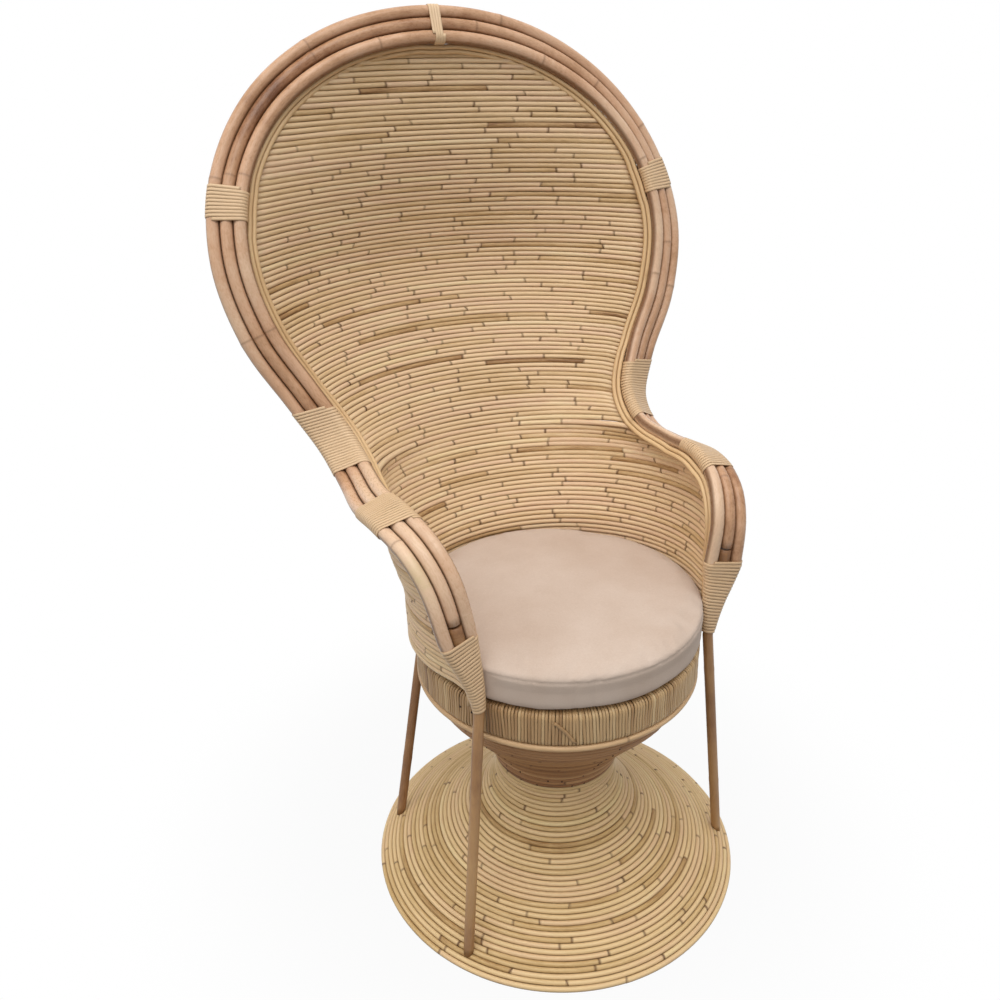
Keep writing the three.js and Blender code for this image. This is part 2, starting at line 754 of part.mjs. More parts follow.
add('binding_top', binding('right', -(top_loops * strip_pitch + strip_width) / 2, top_loops), strip_look);
for (const [name, { stations }] of Object.entries(sides)) {
  const length_at = index => stations.find(station => station.place === index).length;
  for (const [run, loops] of Object.entries(binding_loops)) {
    const start = binding_start_shares[run] * length_at(arm_index);
    add(`binding_${run}_${name}`, binding(name, start, loops), strip_look);
  }
  const leg_start = length_at(binding_index);
  add(`binding_leg_${name}`, binding(name, leg_start, leg_loops), strip_look);
}

// Cushion: a loose round box cushion with a low crown and sides drawn in at both seams
function cushion() {
  const top = cushion_bottom + cushion_height;
  const seam_radius = cushion_radius - cushion_seam;
  const crown_top = top + cushion_crown;
  return turned([
    [0, cushion_bottom],
    [seam_radius - cushion_round, cushion_bottom],
    [seam_radius, cushion_bottom + cushion_seam],
    [cushion_radius, cushion_bottom + cushion_round],
    [cushion_radius - cushion_seam / 4, mix(cushion_bottom, top, 1 / 2)],
    [cushion_radius, top - cushion_round],
    [seam_radius, top - cushion_seam / 2],
    [seam_radius - cushion_round, top + cushion_crown / 4],
    [seam_radius / 2, crown_top - cushion_crown / 4],
    [0, crown_top],
  ]);
}

add('seat_cushion', cushion(), cloth_look);

// The origin goes under the middle of the whole chair's box
const box = new THREE.Box3().setFromObject(chair);
chair.position.y = -(box.min.y + box.max.y) / 2;

export default chair;
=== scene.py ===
# A peacock chair of pencil cane and bent poles, with a loose round seat cushion.
# The frame is in metres, +Z up, and the sitter faces -Y. Sizes below are in millimetres from the
# seat's upright axis, as a chair maker would take them, and are put into the frame when a piece is made.
import math

import bpy
import numpy as np
from mathutils import Matrix, Vector


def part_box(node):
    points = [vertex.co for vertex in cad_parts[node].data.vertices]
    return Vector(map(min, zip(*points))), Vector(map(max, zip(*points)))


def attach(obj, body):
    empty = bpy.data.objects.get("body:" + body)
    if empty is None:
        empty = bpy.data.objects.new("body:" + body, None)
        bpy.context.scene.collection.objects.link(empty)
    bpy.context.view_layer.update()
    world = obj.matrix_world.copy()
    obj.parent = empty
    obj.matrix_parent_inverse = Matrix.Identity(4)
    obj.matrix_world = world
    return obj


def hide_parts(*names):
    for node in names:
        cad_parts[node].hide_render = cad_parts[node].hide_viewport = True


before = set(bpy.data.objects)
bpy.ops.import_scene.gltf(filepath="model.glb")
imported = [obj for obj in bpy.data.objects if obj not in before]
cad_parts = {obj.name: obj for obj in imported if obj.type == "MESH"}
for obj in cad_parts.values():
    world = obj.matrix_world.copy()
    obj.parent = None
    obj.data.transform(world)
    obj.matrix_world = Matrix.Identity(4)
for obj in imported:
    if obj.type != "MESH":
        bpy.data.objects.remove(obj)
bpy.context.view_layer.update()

# Camera: it stands before the chair's left arm, a little above the seat's back, and looks down on
# the cushion. The chair fills the picture from top to bottom and leans in it, as in the photograph.
camera_spot = Vector((-0.554, -1.152, 1.211))
camera_turn = math.radians(23.6)
camera_drop = math.radians(25.13)
camera_roll = math.radians(-1.02)
lens_share = 0.911


def put(name, data):
    """A new object in the scene"""
    thing = bpy.data.objects.new(name, data)
    bpy.context.scene.collection.objects.link(thing)
    return thing


ahead = Vector((
    math.sin(camera_turn) * math.cos(camera_drop),
    math.cos(camera_turn) * math.cos(camera_drop),
    -math.sin(camera_drop),
))
level = ahead.cross(Vector((0, 0, 1))).normalized()
upright = level.cross(ahead)
rightward = level * math.cos(camera_roll) + upright * math.sin(camera_roll)
upward = upright * math.cos(camera_roll) - level * math.sin(camera_roll)
lens = bpy.data.cameras.new("camera")
lens.sensor_width = 36
lens.lens = lens.sensor_width * lens_share
camera = put("camera", lens)
camera.matrix_world = Matrix((
    (rightward.x, upward.x, -ahead.x, camera_spot.x),
    (rightward.y, upward.y, -ahead.y, camera_spot.y),
    (rightward.z, upward.z, -ahead.z, camera_spot.z),
    (0, 0, 0, 1),
))
bpy.context.scene.camera = camera
bpy.context.scene.view_settings.view_transform = "Standard"

# Studio: a plain white floor and surround, a sky that is brightest overhead, a large soft lamp above
# the front and a weaker one at the side. The floor keeps the chair's soft shadow, and is white to the
# camera beyond it.
sky_low_strength = 0.16
sky_high_strength = 1.12
sky_colour = (1, 0.985, 0.965, 1)
plain_white = (1, 1, 1, 1)
floor_colour = (0.28, 0.28, 0.275, 1)
floor_half_width = 6
floor_glow_near_share = 0.945
floor_shadow_reach = 0.3
floor_white_reach = 0.75
lamp_colour = (1, 0.985, 0.96)
lamp_target = Vector((0, 0, 0.6))
lamps = {
    "lamp_top": {"spot": (-0.7, -1.3, 4.0), "size": 3.0, "watts": 81},
    "lamp_side": {"spot": (-3.0, 0.4, 2.8), "size": 2.0, "watts": 17},
}


def feed(look, node, inputs):
    """Sets a node's inputs, each to a plain value or to the output that feeds it"""
    for key, value in inputs.items():
        if isinstance(value, bpy.types.NodeSocket):
            look.node_tree.links.new(value, node.inputs[key])
        else:
            node.inputs[key].default_value = value


def add_node(look, kind, inputs=None, **settings):
    """One shader node, with its settings and inputs"""
    node = look.node_tree.nodes.new(kind)
    for key, value in settings.items():
        setattr(node, key, value)
    feed(look, node, inputs or {})
    return node


def new_look(name):
    """A material, and the shader in it"""
    look = bpy.data.materials.new(name)
    look.use_nodes = True
    return look, look.node_tree.nodes["Principled BSDF"]


def where_on(look, kind="Object"):
    return add_node(look, "ShaderNodeTexCoord").outputs[kind]


def lighten(look, lit, glow, share=None):
    """Mixes a lit shader with a white one for what the camera, mirrors and glass see"""
    path = add_node(look, "ShaderNodeLightPath")
    seen = path.outputs["Is Camera Ray"]
    for ray in ("Is Glossy Ray", "Is Transmission Ray"):
        both = {0: seen, 1: path.outputs[ray]}
        seen = add_node(look, "ShaderNodeMath", both, operation="MAXIMUM").outputs[0]
    if share is not None:
        seen = add_node(look, "ShaderNodeMath", {0: seen, 1: share}, operation="MULTIPLY").outputs[0]
    mixed = {0: seen, 1: lit.outputs[0], 2: glow.outputs[0]}
    return add_node(look, "ShaderNodeMixShader", mixed).outputs[0]


world = bpy.data.worlds.new("sky")
world.use_nodes = True
bpy.context.scene.world = world
sky = world.node_tree.nodes["Background"]
sky_height = add_node(world, "ShaderNodeSeparateXYZ", {0: where_on(world, "Generated")})
sky_range = add_node(world, "ShaderNodeMapRange", {
    "Value": sky_height.outputs["Z"], "To Min": sky_low_strength, "To Max": sky_high_strength,
})
feed(world, sky, {"Color": sky_colour, "Strength": sky_range.outputs["Result"]})
white_sky = add_node(world, "ShaderNodeBackground", {"Color": plain_white, "Strength": 1})
feed(world, world.node_tree.nodes["World Output"], {"Surface": lighten(world, sky, white_sky)})

floor_look, floor_shader = new_look("studio_floor")
feed(floor_look, floor_shader, {
    "Base Color": floor_colour, "Roughness": 0.9, "Specular IOR Level": 0.1,
})
floor_glow = add_node(floor_look, "ShaderNodeEmission", {"Color": plain_white, "Strength": 1})
floor_spot = add_node(floor_look, "ShaderNodeVectorMath", {0: where_on(floor_look)}, operation="LENGTH")
floor_share = add_node(floor_look, "ShaderNodeMapRange", {
    "Value": floor_spot.outputs["Value"], "From Min": floor_shadow_reach,
    "From Max": floor_white_reach, "To Min": floor_glow_near_share,
}, interpolation_type="SMOOTHSTEP").outputs["Result"]
feed(floor_look, floor_look.node_tree.nodes["Material Output"], {
    "Surface": lighten(floor_look, floor_shader, floor_glow, floor_share),
})
floor_mesh = bpy.data.meshes.new("studio_floor")
floor_mesh.from_pydata([(x * floor_half_width, y * floor_half_width, 0)
                        for x, y in ((-1, -1), (1, -1), (1, 1), (-1, 1))], [], [(0, 1, 2, 3)])
floor_mesh.materials.append(floor_look)
put("studio_floor", floor_mesh)

for name, lamp in lamps.items():
    light = bpy.data.lights.new(name, "AREA")
    light.size = lamp["size"]
    light.energy = lamp["watts"]
    light.color = lamp_colour
    stand = put(name, light)
    stand.location = lamp["spot"]
    stand.rotation_euler = (Vector(lamp["spot"]) - lamp_target).to_track_quat("Z", "Y").to_euler()

# Skirt: rings of pencil cane, each of a few lengths butted end to end, stacked and nailed into a
# bell that stands on the floor. The cane is varnished straw, with painted shade as brown lines
# between the rings.
cane_thickness = 8
cane_sides = 8
cane_step = 13
cane_end_steps = (0, 1.2, 3.4)
cane_end_room = 5
cane_press = 1.07
cane_sway = 0.13
cane_lift = 0.22
cane_skew = 0.35
cut_fade = (0.5, 3.0)
cut_darkness = (0.35, 1)
tone_spread = 0.14
tone_limits = (0.02, 0.98)
stained_share = 0.022
stained_tones = (0.08, 0.25)
grain_length = 9000
ring_least_steps = 48
line_steps = 40
rim_to_neck = [
    (296, 4.2), (255, 31.7), (211.5, 56.4), (169, 80.9), (130, 111.3), (102.2, 149.2), (94.6, 178),
    (96, 198),
]
skirt_piece_lengths = (110, 400)
skirt_tint = (0.95, 0.94, 0.82, 1)
skirt_tone = (0.56, 0.06)
butt_gap = -0.3
skirt_low, skirt_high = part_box("base_skirt")
seat_axis = np.array([*((skirt_low + skirt_high) / 2).xy, 0])


def shade(red, green, blue):
    """A colour as it is seen, 0 to 255, made ready for a shader"""
    seen = np.array([red, green, blue]) / 255
    light = np.where(seen <= 0.04045, seen / 12.92, ((seen + 0.055) / 1.055) ** 2.4)
    return (*light.tolist(), 1)


def ramp_shades(*stops):
    """Places on a ramp from dark to pale, each with its colour as it is seen"""
    return [(place, shade(*seen)) for place, *seen in stops]


straw_shades = ramp_shades(
    (0, 130, 94, 58), (0.1, 168, 132, 90), (0.25, 200, 168, 122), (0.45, 222, 193, 152),
    (0.6, 229, 200, 161), (0.75, 222, 189, 156), (0.88, 231, 207, 168), (1, 229, 204, 160),
)
# Painted shade: the brown painted along the gaps where canes lie against each other.
painted_gap_shade = shade(134, 95, 56)
cut_shade = shade(94, 58, 32)


def trait(look, name):
    """A value that every corner of a cane carries"""
    return add_node(look, "ShaderNodeAttribute", attribute_name=name).outputs["Fac"]


def sum_of(look, a, b, factor=1.0):
    """a times a factor, plus b"""
    node = add_node(look, "ShaderNodeMath", {0: a, 1: factor, 2: b}, operation="MULTIPLY_ADD")
    return node.outputs[0]


def noise(look, where, scale, detail, roughness):
    """A soft pattern with a value from 0 to 1"""
    return add_node(look, "ShaderNodeTexNoise", {
        "Vector": where, "Scale": scale, "Detail": detail, "Roughness": roughness,
    }).outputs["Fac"]


def stretched_noise(look, along, around, detail=4.0):
    """Streaks that run along a cane, different on every length of it"""
    spread = add_node(look, "ShaderNodeSeparateXYZ", {0: where_on(look, "UV")}).outputs
    where = add_node(look, "ShaderNodeCombineXYZ", {
        0: sum_of(look, spread[0], 0.0, along), 1: sum_of(look, spread[1], 0.0, around),
        2: sum_of(look, trait(look, "tone"), 0.0, 53.0),
    })
    return noise(look, where.outputs[0], 1.0, detail, 0.6)


def spot_noise(look, scale):
    """Soft spots, all over a piece"""
    return noise(look, where_on(look), scale, 3.0, 0.55)


def ramp(look, place, stops):
    """A colour that changes with a place on a ramp"""
    node = add_node(look, "ShaderNodeValToRGB", {0: place})
    band = node.color_ramp
    while len(band.elements) < len(stops):
        band.elements.new(0.5)
    for element, (spot, colour) in zip(band.elements, stops):
        element.position = spot
        element.color = colour
    return node.outputs[0]


def colour_mix(look, share, a, b):
    return add_node(look, "ShaderNodeMix", {0: share, 6: a, 7: b}, data_type="RGBA").outputs[2]


def grey(level):
    return (level, level, level, 1)


def dullness(look, place, low, high, reach=(0.3, 0.7)):
    """Roughness that goes from low to high with a pattern"""
    return ramp(look, place, [(reach[0], grey(low)), (reach[1], grey(high))])


def bump(look, height, strength, depth):
    node = add_node(look, "ShaderNodeBump", {"Height": height, "Strength": strength, "Distance": depth})
    return node.outputs[0]


def cane_look(name, shades, dark, patch_share=0.5, patch_scale=5.0, streak_share=0.5,
              gloss=(0.36, 0.6), shade_and_mark_strength=0.85):
    """Varnished cane: a tone for each length, streaks along it, brown where lengths meet, and painted
    shade where it lies against the next cane
    """
    look, shader = new_look(name)
    streak = stretched_noise(look, 22.0, 5.0)
    fine = stretched_noise(look, 110.0, 22.0, 2.0)
    patch = spot_noise(look, patch_scale)
    place = sum_of(look, patch, trait(look, "tone"), patch_share)
    place = sum_of(look, streak, place, streak_share)
    place = sum_of(look, fine, place, streak_share * 0.5)
    place = sum_of(look, place, -0.5 * (patch_share + streak_share * 1.5))
    # Painted shade: the dark colour goes where a cane lies against its neighbour, for the shade in the
    # gap between them; on poles and edge rods the same mix also darkens their node marks.
    gap_shade_and_mark = sum_of(look, trait(look, "gap_shade_and_mark"), 0.0, shade_and_mark_strength)
    colour = colour_mix(look, gap_shade_and_mark, ramp(look, place, shades), dark)
    feed(look, shader, {
        "Base Color": colour_mix(look, trait(look, "cut"), colour, cut_shade),
        "Roughness": dullness(look, fine, *gloss),
        "Specular IOR Level": 0.38,
        "Normal": bump(look, sum_of(look, streak, fine, 0.6), 0.35, 0.0004),
    })
    return look


def in_frame(corners):
    """Millimetres from the seat's axis, as metres in the chair's frame"""
    return np.asarray(corners, float) / 1000 + seat_axis


def make_piece(name, tubes, look, replaced):
    """Joins closed tubes into one piece. A tube has rings of corners, its length along at each ring,
    how much painted shade each corner gets from the gap against its neighbour (with a pole's node
    marks), and how near a cut end each corner is."""
    corners, loops, totals, spots, traits = [], [], [], [], {"tone": [], "gap_shade_and_mark": [], "cut": []}
    first = 0
    for tube in tubes:
        rings = tube["rings"]
        count, sides = rings.shape[:2]
        index = first + np.arange(count * sides).reshape(count, sides)
        following = np.roll(index, -1, axis=1)
        quads = np.stack([index[:-1], following[:-1], following[1:], index[1:]], axis=-1)
        middle = count // 2
        side_a = rings[middle, 1] - rings[middle, 0]
        side_b = rings[middle - 1, 0] - rings[middle, 0]
        inward = rings[middle].mean(axis=0) - rings[middle, 0]
        turned = np.dot(np.cross(side_b, side_a), inward) > 0
        v = np.arange(sides)
        u = np.asarray(tube["along"])
        low, high = np.repeat(u[:-1], sides), np.repeat(u[1:], sides)
        a, b = np.tile(v, count - 1) / sides, np.tile(v + 1, count - 1) / sides
        spread = np.stack([np.stack([low, a], -1), np.stack([low, b], -1),
                           np.stack([high, b], -1), np.stack([high, a], -1)], axis=1)
        quads = quads.reshape(-1, 4)
        caps = [index[0][::-1], index[-1]]
        if turned:
            quads, spread = quads[:, ::-1], spread[:, ::-1]
            caps = [cap[::-1] for cap in caps]
        loops += [quads.ravel(), *caps]
        totals += [np.full(len(quads), 4), np.array([sides, sides])]
        spots += [spread.reshape(-1, 2), np.full((sides, 2), u[0]), np.full((sides, 2), u[-1])]
        corners.append(rings.reshape(-1, 3))
        for key in traits:
            traits[key].append(np.broadcast_to(tube[key], (count, sides)).ravel())
        first += count * sides
    loops, totals = np.concatenate(loops), np.concatenate(totals)
    mesh = bpy.data.meshes.new(name)
    mesh.vertices.add(first)
    mesh.vertices.foreach_set("co", in_frame(np.concatenate(corners)).ravel())
    mesh.loops.add(len(loops))
    mesh.loops.foreach_set("vertex_index", loops.astype(np.int32))
    mesh.polygons.add(len(totals))
    mesh.polygons.foreach_set("loop_start", (np.cumsum(totals) - totals).astype(np.int32))
    mesh.polygons.foreach_set("loop_total", totals.astype(np.int32))
    mesh.update(calc_edges=True)
    mesh.polygons.foreach_set("use_smooth", totals == 4)
    mesh.uv_layers.new(name="along_and_round").data.foreach_set("uv", np.concatenate(spots).ravel())
    for key, values in traits.items():
        mesh.attributes.new(key, "FLOAT", "POINT").data.foreach_set("value", np.concatenate(values))
    mesh.materials.append(look)
    piece = put(name, mesh)
    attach(piece, "chair")
    if replaced:
        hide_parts(*replaced)


def unit(vectors):
    return vectors / np.linalg.norm(vectors, axis=-1, keepdims=True)


def length_along(points):
    return np.concatenate([[0], np.cumsum(np.linalg.norm(np.diff(points, axis=0), axis=1))])


def soften(values, low, high):
    """0 below low, 1 above high, and an easy curve between them"""
    share = np.clip((values - low) / (high - low), 0, 1)
    return share * share * (3 - 2 * share)


def read_line(spots, length, values):
    """Points or directions along a line, read at spots on it"""
    return np.stack([np.interp(spots, length, part) for part in values.T], axis=-1)


def grain(length, chance):
    """Metres along the cane that a piece is cut from, which its streaks follow"""
    return (length + chance.uniform(0, grain_length)) / 1000


def cut_ends(length):
    """How near to a cut end each spot along a cane is, for the brown of the cut"""
    return 1 - soften(np.minimum(length - length[0], length[-1] - length), *cut_fade)


def cane_length(row, start, end, skews, chance, tone):
    """One length of cane in a row, cut a little askew at both ends"""
    run = np.arange(start + cane_step * 0.7, end - cane_step * 0.4, cane_step)
    run = run[(run > start + cane_end_room) & (run < end - cane_end_room)]
    steps = np.array(cane_end_steps)
    spots = np.unique(np.concatenate([start + steps, run, end - steps]))
    points, outward, across = (read_line(spots, row["length"], row[key])
                               for key in ("points", "outward", "across"))
    outward = unit(outward)
    across = unit(across - outward * np.sum(across * outward, axis=1, keepdims=True))
    along = np.cross(across, outward)
    over, under, thick = (np.interp(spots, row["length"], row[key])[:, None]
                          for key in ("over", "under", "thick"))
    angles = -math.pi / 2 + 2 * math.pi * np.arange(cane_sides) / cane_sides
    high, out = np.sin(angles), np.cos(angles)
    reach = np.where(high > 0, over * high, under * high) * cane_press
    share = (spots - start) / max(end - start, 1)
    drift, lift = (np.interp(share, [0, 0.3, 0.7, 1], chance.normal(0, spread, 4))[:, None]
                   for spread in (cane_sway, cane_lift))
    rings = (points[:, None] + across[:, None] * (reach + drift)[..., None]
             + outward[:, None] * (thick * out + lift)[..., None])
    for rank, lean in ((0, skews[0]), (1, skews[0]), (-1, skews[1]), (-2, skews[1])):
        rings[rank] += along[rank] * (lean * reach[rank])[:, None]
    return {
        "rings": rings, "along": grain(spots, chance), "tone": tone,
        # Painted shade along the top and bottom of the cane, where it lies against the rows above and
        # below.
        "gap_shade_and_mark": soften(np.abs(high), 0.6, 1.0),
        "cut": cut_ends(spots)[:, None] * chance.uniform(*cut_darkness),
    }


def cane_row(row, lengths, chance, mood):
    """A whole row, cut into lengths that butt against each other"""
    start, end = 0, row["length"][-1]
    tubes = []
    cut = 0
    while start < end:
        stop = start + chance.uniform(*lengths)
        if end - stop < lengths[0]:
            stop = end
        tone = np.clip(mood + chance.normal(0, tone_spread), *tone_limits)
        if chance.random() < stained_share:
            tone = chance.uniform(*stained_tones)
        skews = (cut, chance.normal(0, cane_skew) if stop < end else 0)
        tubes.append(cane_length(row, start + butt_gap / 2, stop - butt_gap / 2, skews, chance, tone))
        start, cut = stop, skews[1]
    return tubes


def spline(points, place, even=True):
    """A smooth line through the points, at a place counted in points. Where they aren't evenly
    spaced, the distances between them ease it."""
    k = int(min(max(math.floor(place), 0), len(points) - 2))
    t = place - k
    b, c = points[k], points[k + 1]
    a = points[k - 1] if k > 0 else 2 * b - c
    d = points[k + 2] if k + 2 < len(points) else 2 * c - b
    if even:
        start, end = (c - a) / 2, (d - b) / 2
    else:
        step = [math.sqrt(np.linalg.norm(q - p)) for p, q in ((a, b), (b, c), (c, d))]
        start = ((b - a) / step[0] - (c - a) / (step[0] + step[1]) + (c - b) / step[1]) * step[1]
        end = ((c - b) / step[1] - (d - b) / (step[1] + step[2]) + (d - c) / step[2]) * step[1]
    return (b + start * t + (3 * (c - b) - 2 * start - end) * t * t
            + (2 * (b - c) + start + end) * t ** 3)


def smooth_line(knots, spacing):
    """Evenly spaced points on a smooth line through the knots, and the line's direction there"""
    knots = np.asarray(knots, float)
    places = np.linspace(0, len(knots) - 1, line_steps * (len(knots) - 1) + 1)
    points = np.array([spline(knots, place) for place in places])
    length = length_along(points)
    spots = np.linspace(0, length[-1], max(2, round(length[-1] / spacing) + 1))
    even = read_line(spots, length, points)
    return even, unit(np.gradient(even, axis=0))


def ring_rows(profile, direction, first_turns):
    """Rows of cane that run round the seat's axis, one at each point of a profile"""
    pitch = np.linalg.norm(profile[1] - profile[0])
    for (radius, height), (out_by, up_by), turn in zip(profile, direction, first_turns):
        steps = max(ring_least_steps, int(2 * math.pi * radius / cane_step) * 2)
        angle = turn + np.linspace(0, 2 * math.pi, steps + 1)
        round_about = np.stack([np.sin(angle), -np.cos(angle), 0 * angle], axis=-1)
        points = radius * round_about + np.array([0, 0, height])
        face = up_by * round_about + np.array([0, 0, -out_by])
        course = out_by * round_about + np.array([0, 0, up_by])
        size = np.full(steps + 1, pitch / 2)
        yield {"points": points, "outward": face, "across": course, "length": length_along(points),
               "over": size, "under": size, "thick": np.full(steps + 1, cane_thickness / 2)}


skirt_chance = np.random.RandomState(11)
skirt_profile, skirt_direction = smooth_line(rim_to_neck, cane_thickness)
skirt_tubes = []
for row in ring_rows(skirt_profile, skirt_direction,
                     skirt_chance.uniform(0, 2 * math.pi, len(skirt_profile))):
    skirt_tubes += cane_row(row, skirt_piece_lengths, skirt_chance,
                            skirt_chance.normal(*skirt_tone))
straw_cane = cane_look("straw_cane", straw_shades, painted_gap_shade)
skirt_cane = cane_look("skirt_cane", [
    (spot, tuple(part * share for part, share in zip(colour, skirt_tint)))
    for spot, colour in straw_shades
], shade(120, 80, 42))
make_piece("skirt_rings", skirt_tubes, skirt_cane, ["base_skirt"])

# Hidden frame of the base: a floor hoop, a neck hoop and six bent ribs of bare pole, inside the
# rings, which are nailed to them. They show only from below, so the plain bent poles stay.
bare_shades = ramp_shades(
    (0, 104, 74, 44), (0.35, 150, 114, 74), (0.65, 176, 140, 96), (1, 196, 162, 118),
)
rib_count = 6


def bare_pole_look(name, shades, scale):
    """Unvarnished pole: dull, with blotches and fine dry streaks"""
    look, shader = new_look(name)
    squeezed = add_node(look, "ShaderNodeMapping", {"Vector": where_on(look), "Scale": scale})
    streak = noise(look, squeezed.outputs[0], 1.0, 5.0, 0.65)
    place = sum_of(look, spot_noise(look, 14.0), sum_of(look, streak, -0.35), 0.7)
    feed(look, shader, {
        "Base Color": ramp(look, place, shades), "Roughness": dullness(look, streak, 0.55, 0.8),
        "Specular IOR Level": 0.3, "Normal": bump(look, streak, 0.4, 0.0006),
    })
    return look


def smooth_faces(piece):
    for face in piece.data.polygons:
        face.use_smooth = True


def keep_node(name, look):
    """A hidden piece that keeps its plain shape, with its own look and rounded shading"""
    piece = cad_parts[name]
    piece.data.materials.clear()
    piece.data.materials.append(look)
    smooth_faces(piece)
    edges = piece.modifiers.new("edges", "EDGE_SPLIT")
    edges.split_angle = math.radians(80)


bare_pole = bare_pole_look("bare_pole", bare_shades, (60.0, 60.0, 60.0))
for name in ("floor_hoop", "neck_hoop", *(f"base_rib_{k + 1}" for k in range(rib_count))):
    keep_node(name, bare_pole)

# Flare: the same rings of cane go on from the neck, out to the underside of the drum. Its cane is
# more even, with few joins and small nail heads where it meets the ribs. Its colours are painted
# darker and browner than the skirt's, as painted shade under the drum.
neck_to_drum = [
    (97, 206), (108, 235), (133, 271), (163, 307), (188, 338), (202, 376.2),
]
flare_piece_lengths = (200, 700)
# Painted shade: the flare's colours are darker and browner, for the shade under the drum.
flare_shades = ramp_shades(
    (0, 98, 63, 37), (0.2, 136, 94, 58), (0.5, 168, 123, 81), (0.75, 180, 136, 93),
    (1, 188, 149, 105),
)
flare_tone = (0.5, 0.08)
nail_radius = 1.6
nail_proud = 0.5
nail_sunk = 1.5
nail_crown_share = 0.6
nail_sides = 8
neck_nail_count = 9
neck_ring_count = 4


def nail_head(centre, out, up):
    """A small round nail head on a surface, facing out"""
    side = np.cross(up, out)
    turns = 2 * math.pi * np.arange(nail_sides) / nail_sides
    disc = np.cos(turns)[:, None] * up + np.sin(turns)[:, None] * side
    rings = np.stack([centre + out * proud + disc * reach for proud, reach in (
        (-nail_sunk, nail_radius), (nail_proud * 0.5, nail_radius),
        (nail_proud, nail_radius * nail_crown_share))])
    return {"rings": rings, "along": [0, 0.001, 0.002], "tone": 0.1, "gap_shade_and_mark": 0.0, "cut": 0.0}


def nail_heads(rows, angles, chance, every, wander):
    """Nail heads on every so many rings of cane, near each of some angles round the seat's axis"""
    tubes = []
    for rank, (row, first) in enumerate(rows):
        if rank % every:
            continue
        for angle in angles:
            turn = (angle + chance.normal(0, wander) - first) % (2 * math.pi)
            spot = turn / (2 * math.pi) * row["length"][-1]
            centre, out, up = (read_line(spot, row["length"], row[key])
                               for key in ("points", "outward", "across"))
            tubes.append(nail_head(centre + unit(out) * cane_thickness / 2, unit(out), unit(up)))
    return tubes


flare_chance = np.random.RandomState(23)
flare_profile, flare_direction = smooth_line(neck_to_drum, cane_thickness)
flare_turns = flare_chance.uniform(0, 2 * math.pi, len(flare_profile))
flare_rows = list(ring_rows(flare_profile, flare_direction, flare_turns))
flare_tubes = []
for row in flare_rows:
    flare_tubes += cane_row(row, flare_piece_lengths, flare_chance,
                            flare_chance.normal(*flare_tone))
flare_cane = cane_look("flare_cane", flare_shades, shade(104, 70, 42), shade_and_mark_strength=0.5)
make_piece("flare_rings", flare_tubes, flare_cane, ["under_seat_flare"])

nail_look, nail_shader = new_look("nail_heads")
feed(nail_look, nail_shader, {
    "Base Color": ramp(nail_look, spot_noise(nail_look, 300.0), ramp_shades(
        (0.3, 38, 26, 18), (0.7, 84, 60, 42))),
    "Roughness": dullness(nail_look, spot_noise(nail_look, 500.0), 0.4, 0.7),
    "Metallic": 0.6,
})
ringed = list(zip(flare_rows, flare_turns))
rib_angles = [2 * math.pi * k / rib_count for k in range(rib_count)]
flare_nails = nail_heads(ringed, rib_angles, flare_chance, every=3, wander=0.03)
neck_angles = flare_chance.uniform(0, 2 * math.pi, neck_nail_count)
flare_nails += nail_heads(ringed[:neck_ring_count], neck_angles, flare_chance, every=2, wander=0.2)
make_piece("flare_nails", flare_nails, nail_look, [])

# Seat drum: two stacked hoops of pole, wound closely with cane strip from edge to edge, and a thin
# ring rod below. The strips stand upright round the drum, a little askew, and are satin.
drum_radius = 218
drum_top = 436
drum_bottom = 380
drum_mouth = 197
drum_strip_count = 292
drum_corner = 9
ring_rod_shades = ramp_shades(
    (0, 170, 132, 92), (0.4, 214, 180, 138), (1, 230, 200, 160),
)
ring_rod_radius = 4.4
ring_rod_line = 213.8
ring_rod_height = 376.9
ring_rod_steps = 160
ring_rod_lengths = (600, 760)
strip_back = 0.9
strip_edge = 0.8
drum_hollow = 1.2
drum_face_inset = 0.5
drum_face_heights = (424, 408, 392)
drum_lip = 1.2
drum_lip_width = 4
drum_strip_slant = 0.3
drum_strip_fill = (0.97, 0.012)
drum_strip_lift = 0.1
drum_strip_tone = (0.5, 0.09)
drum_lean = (0.85, 0.2)
drum_mood = (0.93, 0.045)
drum_strip_profile = ((-1, -0.9), (-0.82, -0.1), (0, 0.25), (0.82, -0.1), (1, -0.9))
tucked_end = [(-28, 423.5), (-24, 408), (-20.5, 389)]
tucked_half_width = 2.8
tucked_proud = 0.4
tucked_tone = 0.3
tucked_profile = ((-1, -0.9), (-0.8, 0.2), (0, 0.5), (0.8, 0.2), (1, -0.9))
drum_nail_angles = (-65.3, -59.8)
drum_nail_height = 411
strip_shades = ramp_shades(
    (0, 128, 94, 60), (0.25, 164, 128, 88), (0.5, 190, 156, 112), (0.75, 206, 176, 132),
    (1, 222, 196, 152),
)


def around(radius, degrees, height):
    """A point round the seat's axis, at an angle from the front towards +X"""
    turn = math.radians(degrees)
    return np.array([radius * math.sin(turn), -radius * math.cos(turn), height])


def quarter_round(centre, reach, first, last, steps):
    """Points round a corner, between two angles from straight up"""
    turns = np.radians(np.linspace(first, last, steps + 1))
    return [*zip(centre[0] + reach[0] * np.sin(turns), centre[1] + reach[1] * np.cos(turns))]


def drum_section():
    """The line that a strip follows over the drum: across its top, down its face and in below"""
    reach = (drum_corner - strip_edge, drum_corner - strip_back)
    corner = drum_radius - drum_corner
    face = drum_radius - drum_face_inset
    return np.array([
        (drum_mouth, drum_top - drum_lip), (drum_mouth + drum_lip_width, drum_top - strip_back),
        *quarter_round((corner, drum_top - drum_corner), reach, 0, 90, 4),
        *zip((face, drum_radius - drum_hollow, face), drum_face_heights),
        *quarter_round((corner, drum_bottom + drum_corner), reach, 90, 180, 4),
        (drum_mouth + drum_lip_width, drum_bottom + strip_back), (drum_mouth, drum_bottom + drum_lip),
    ])


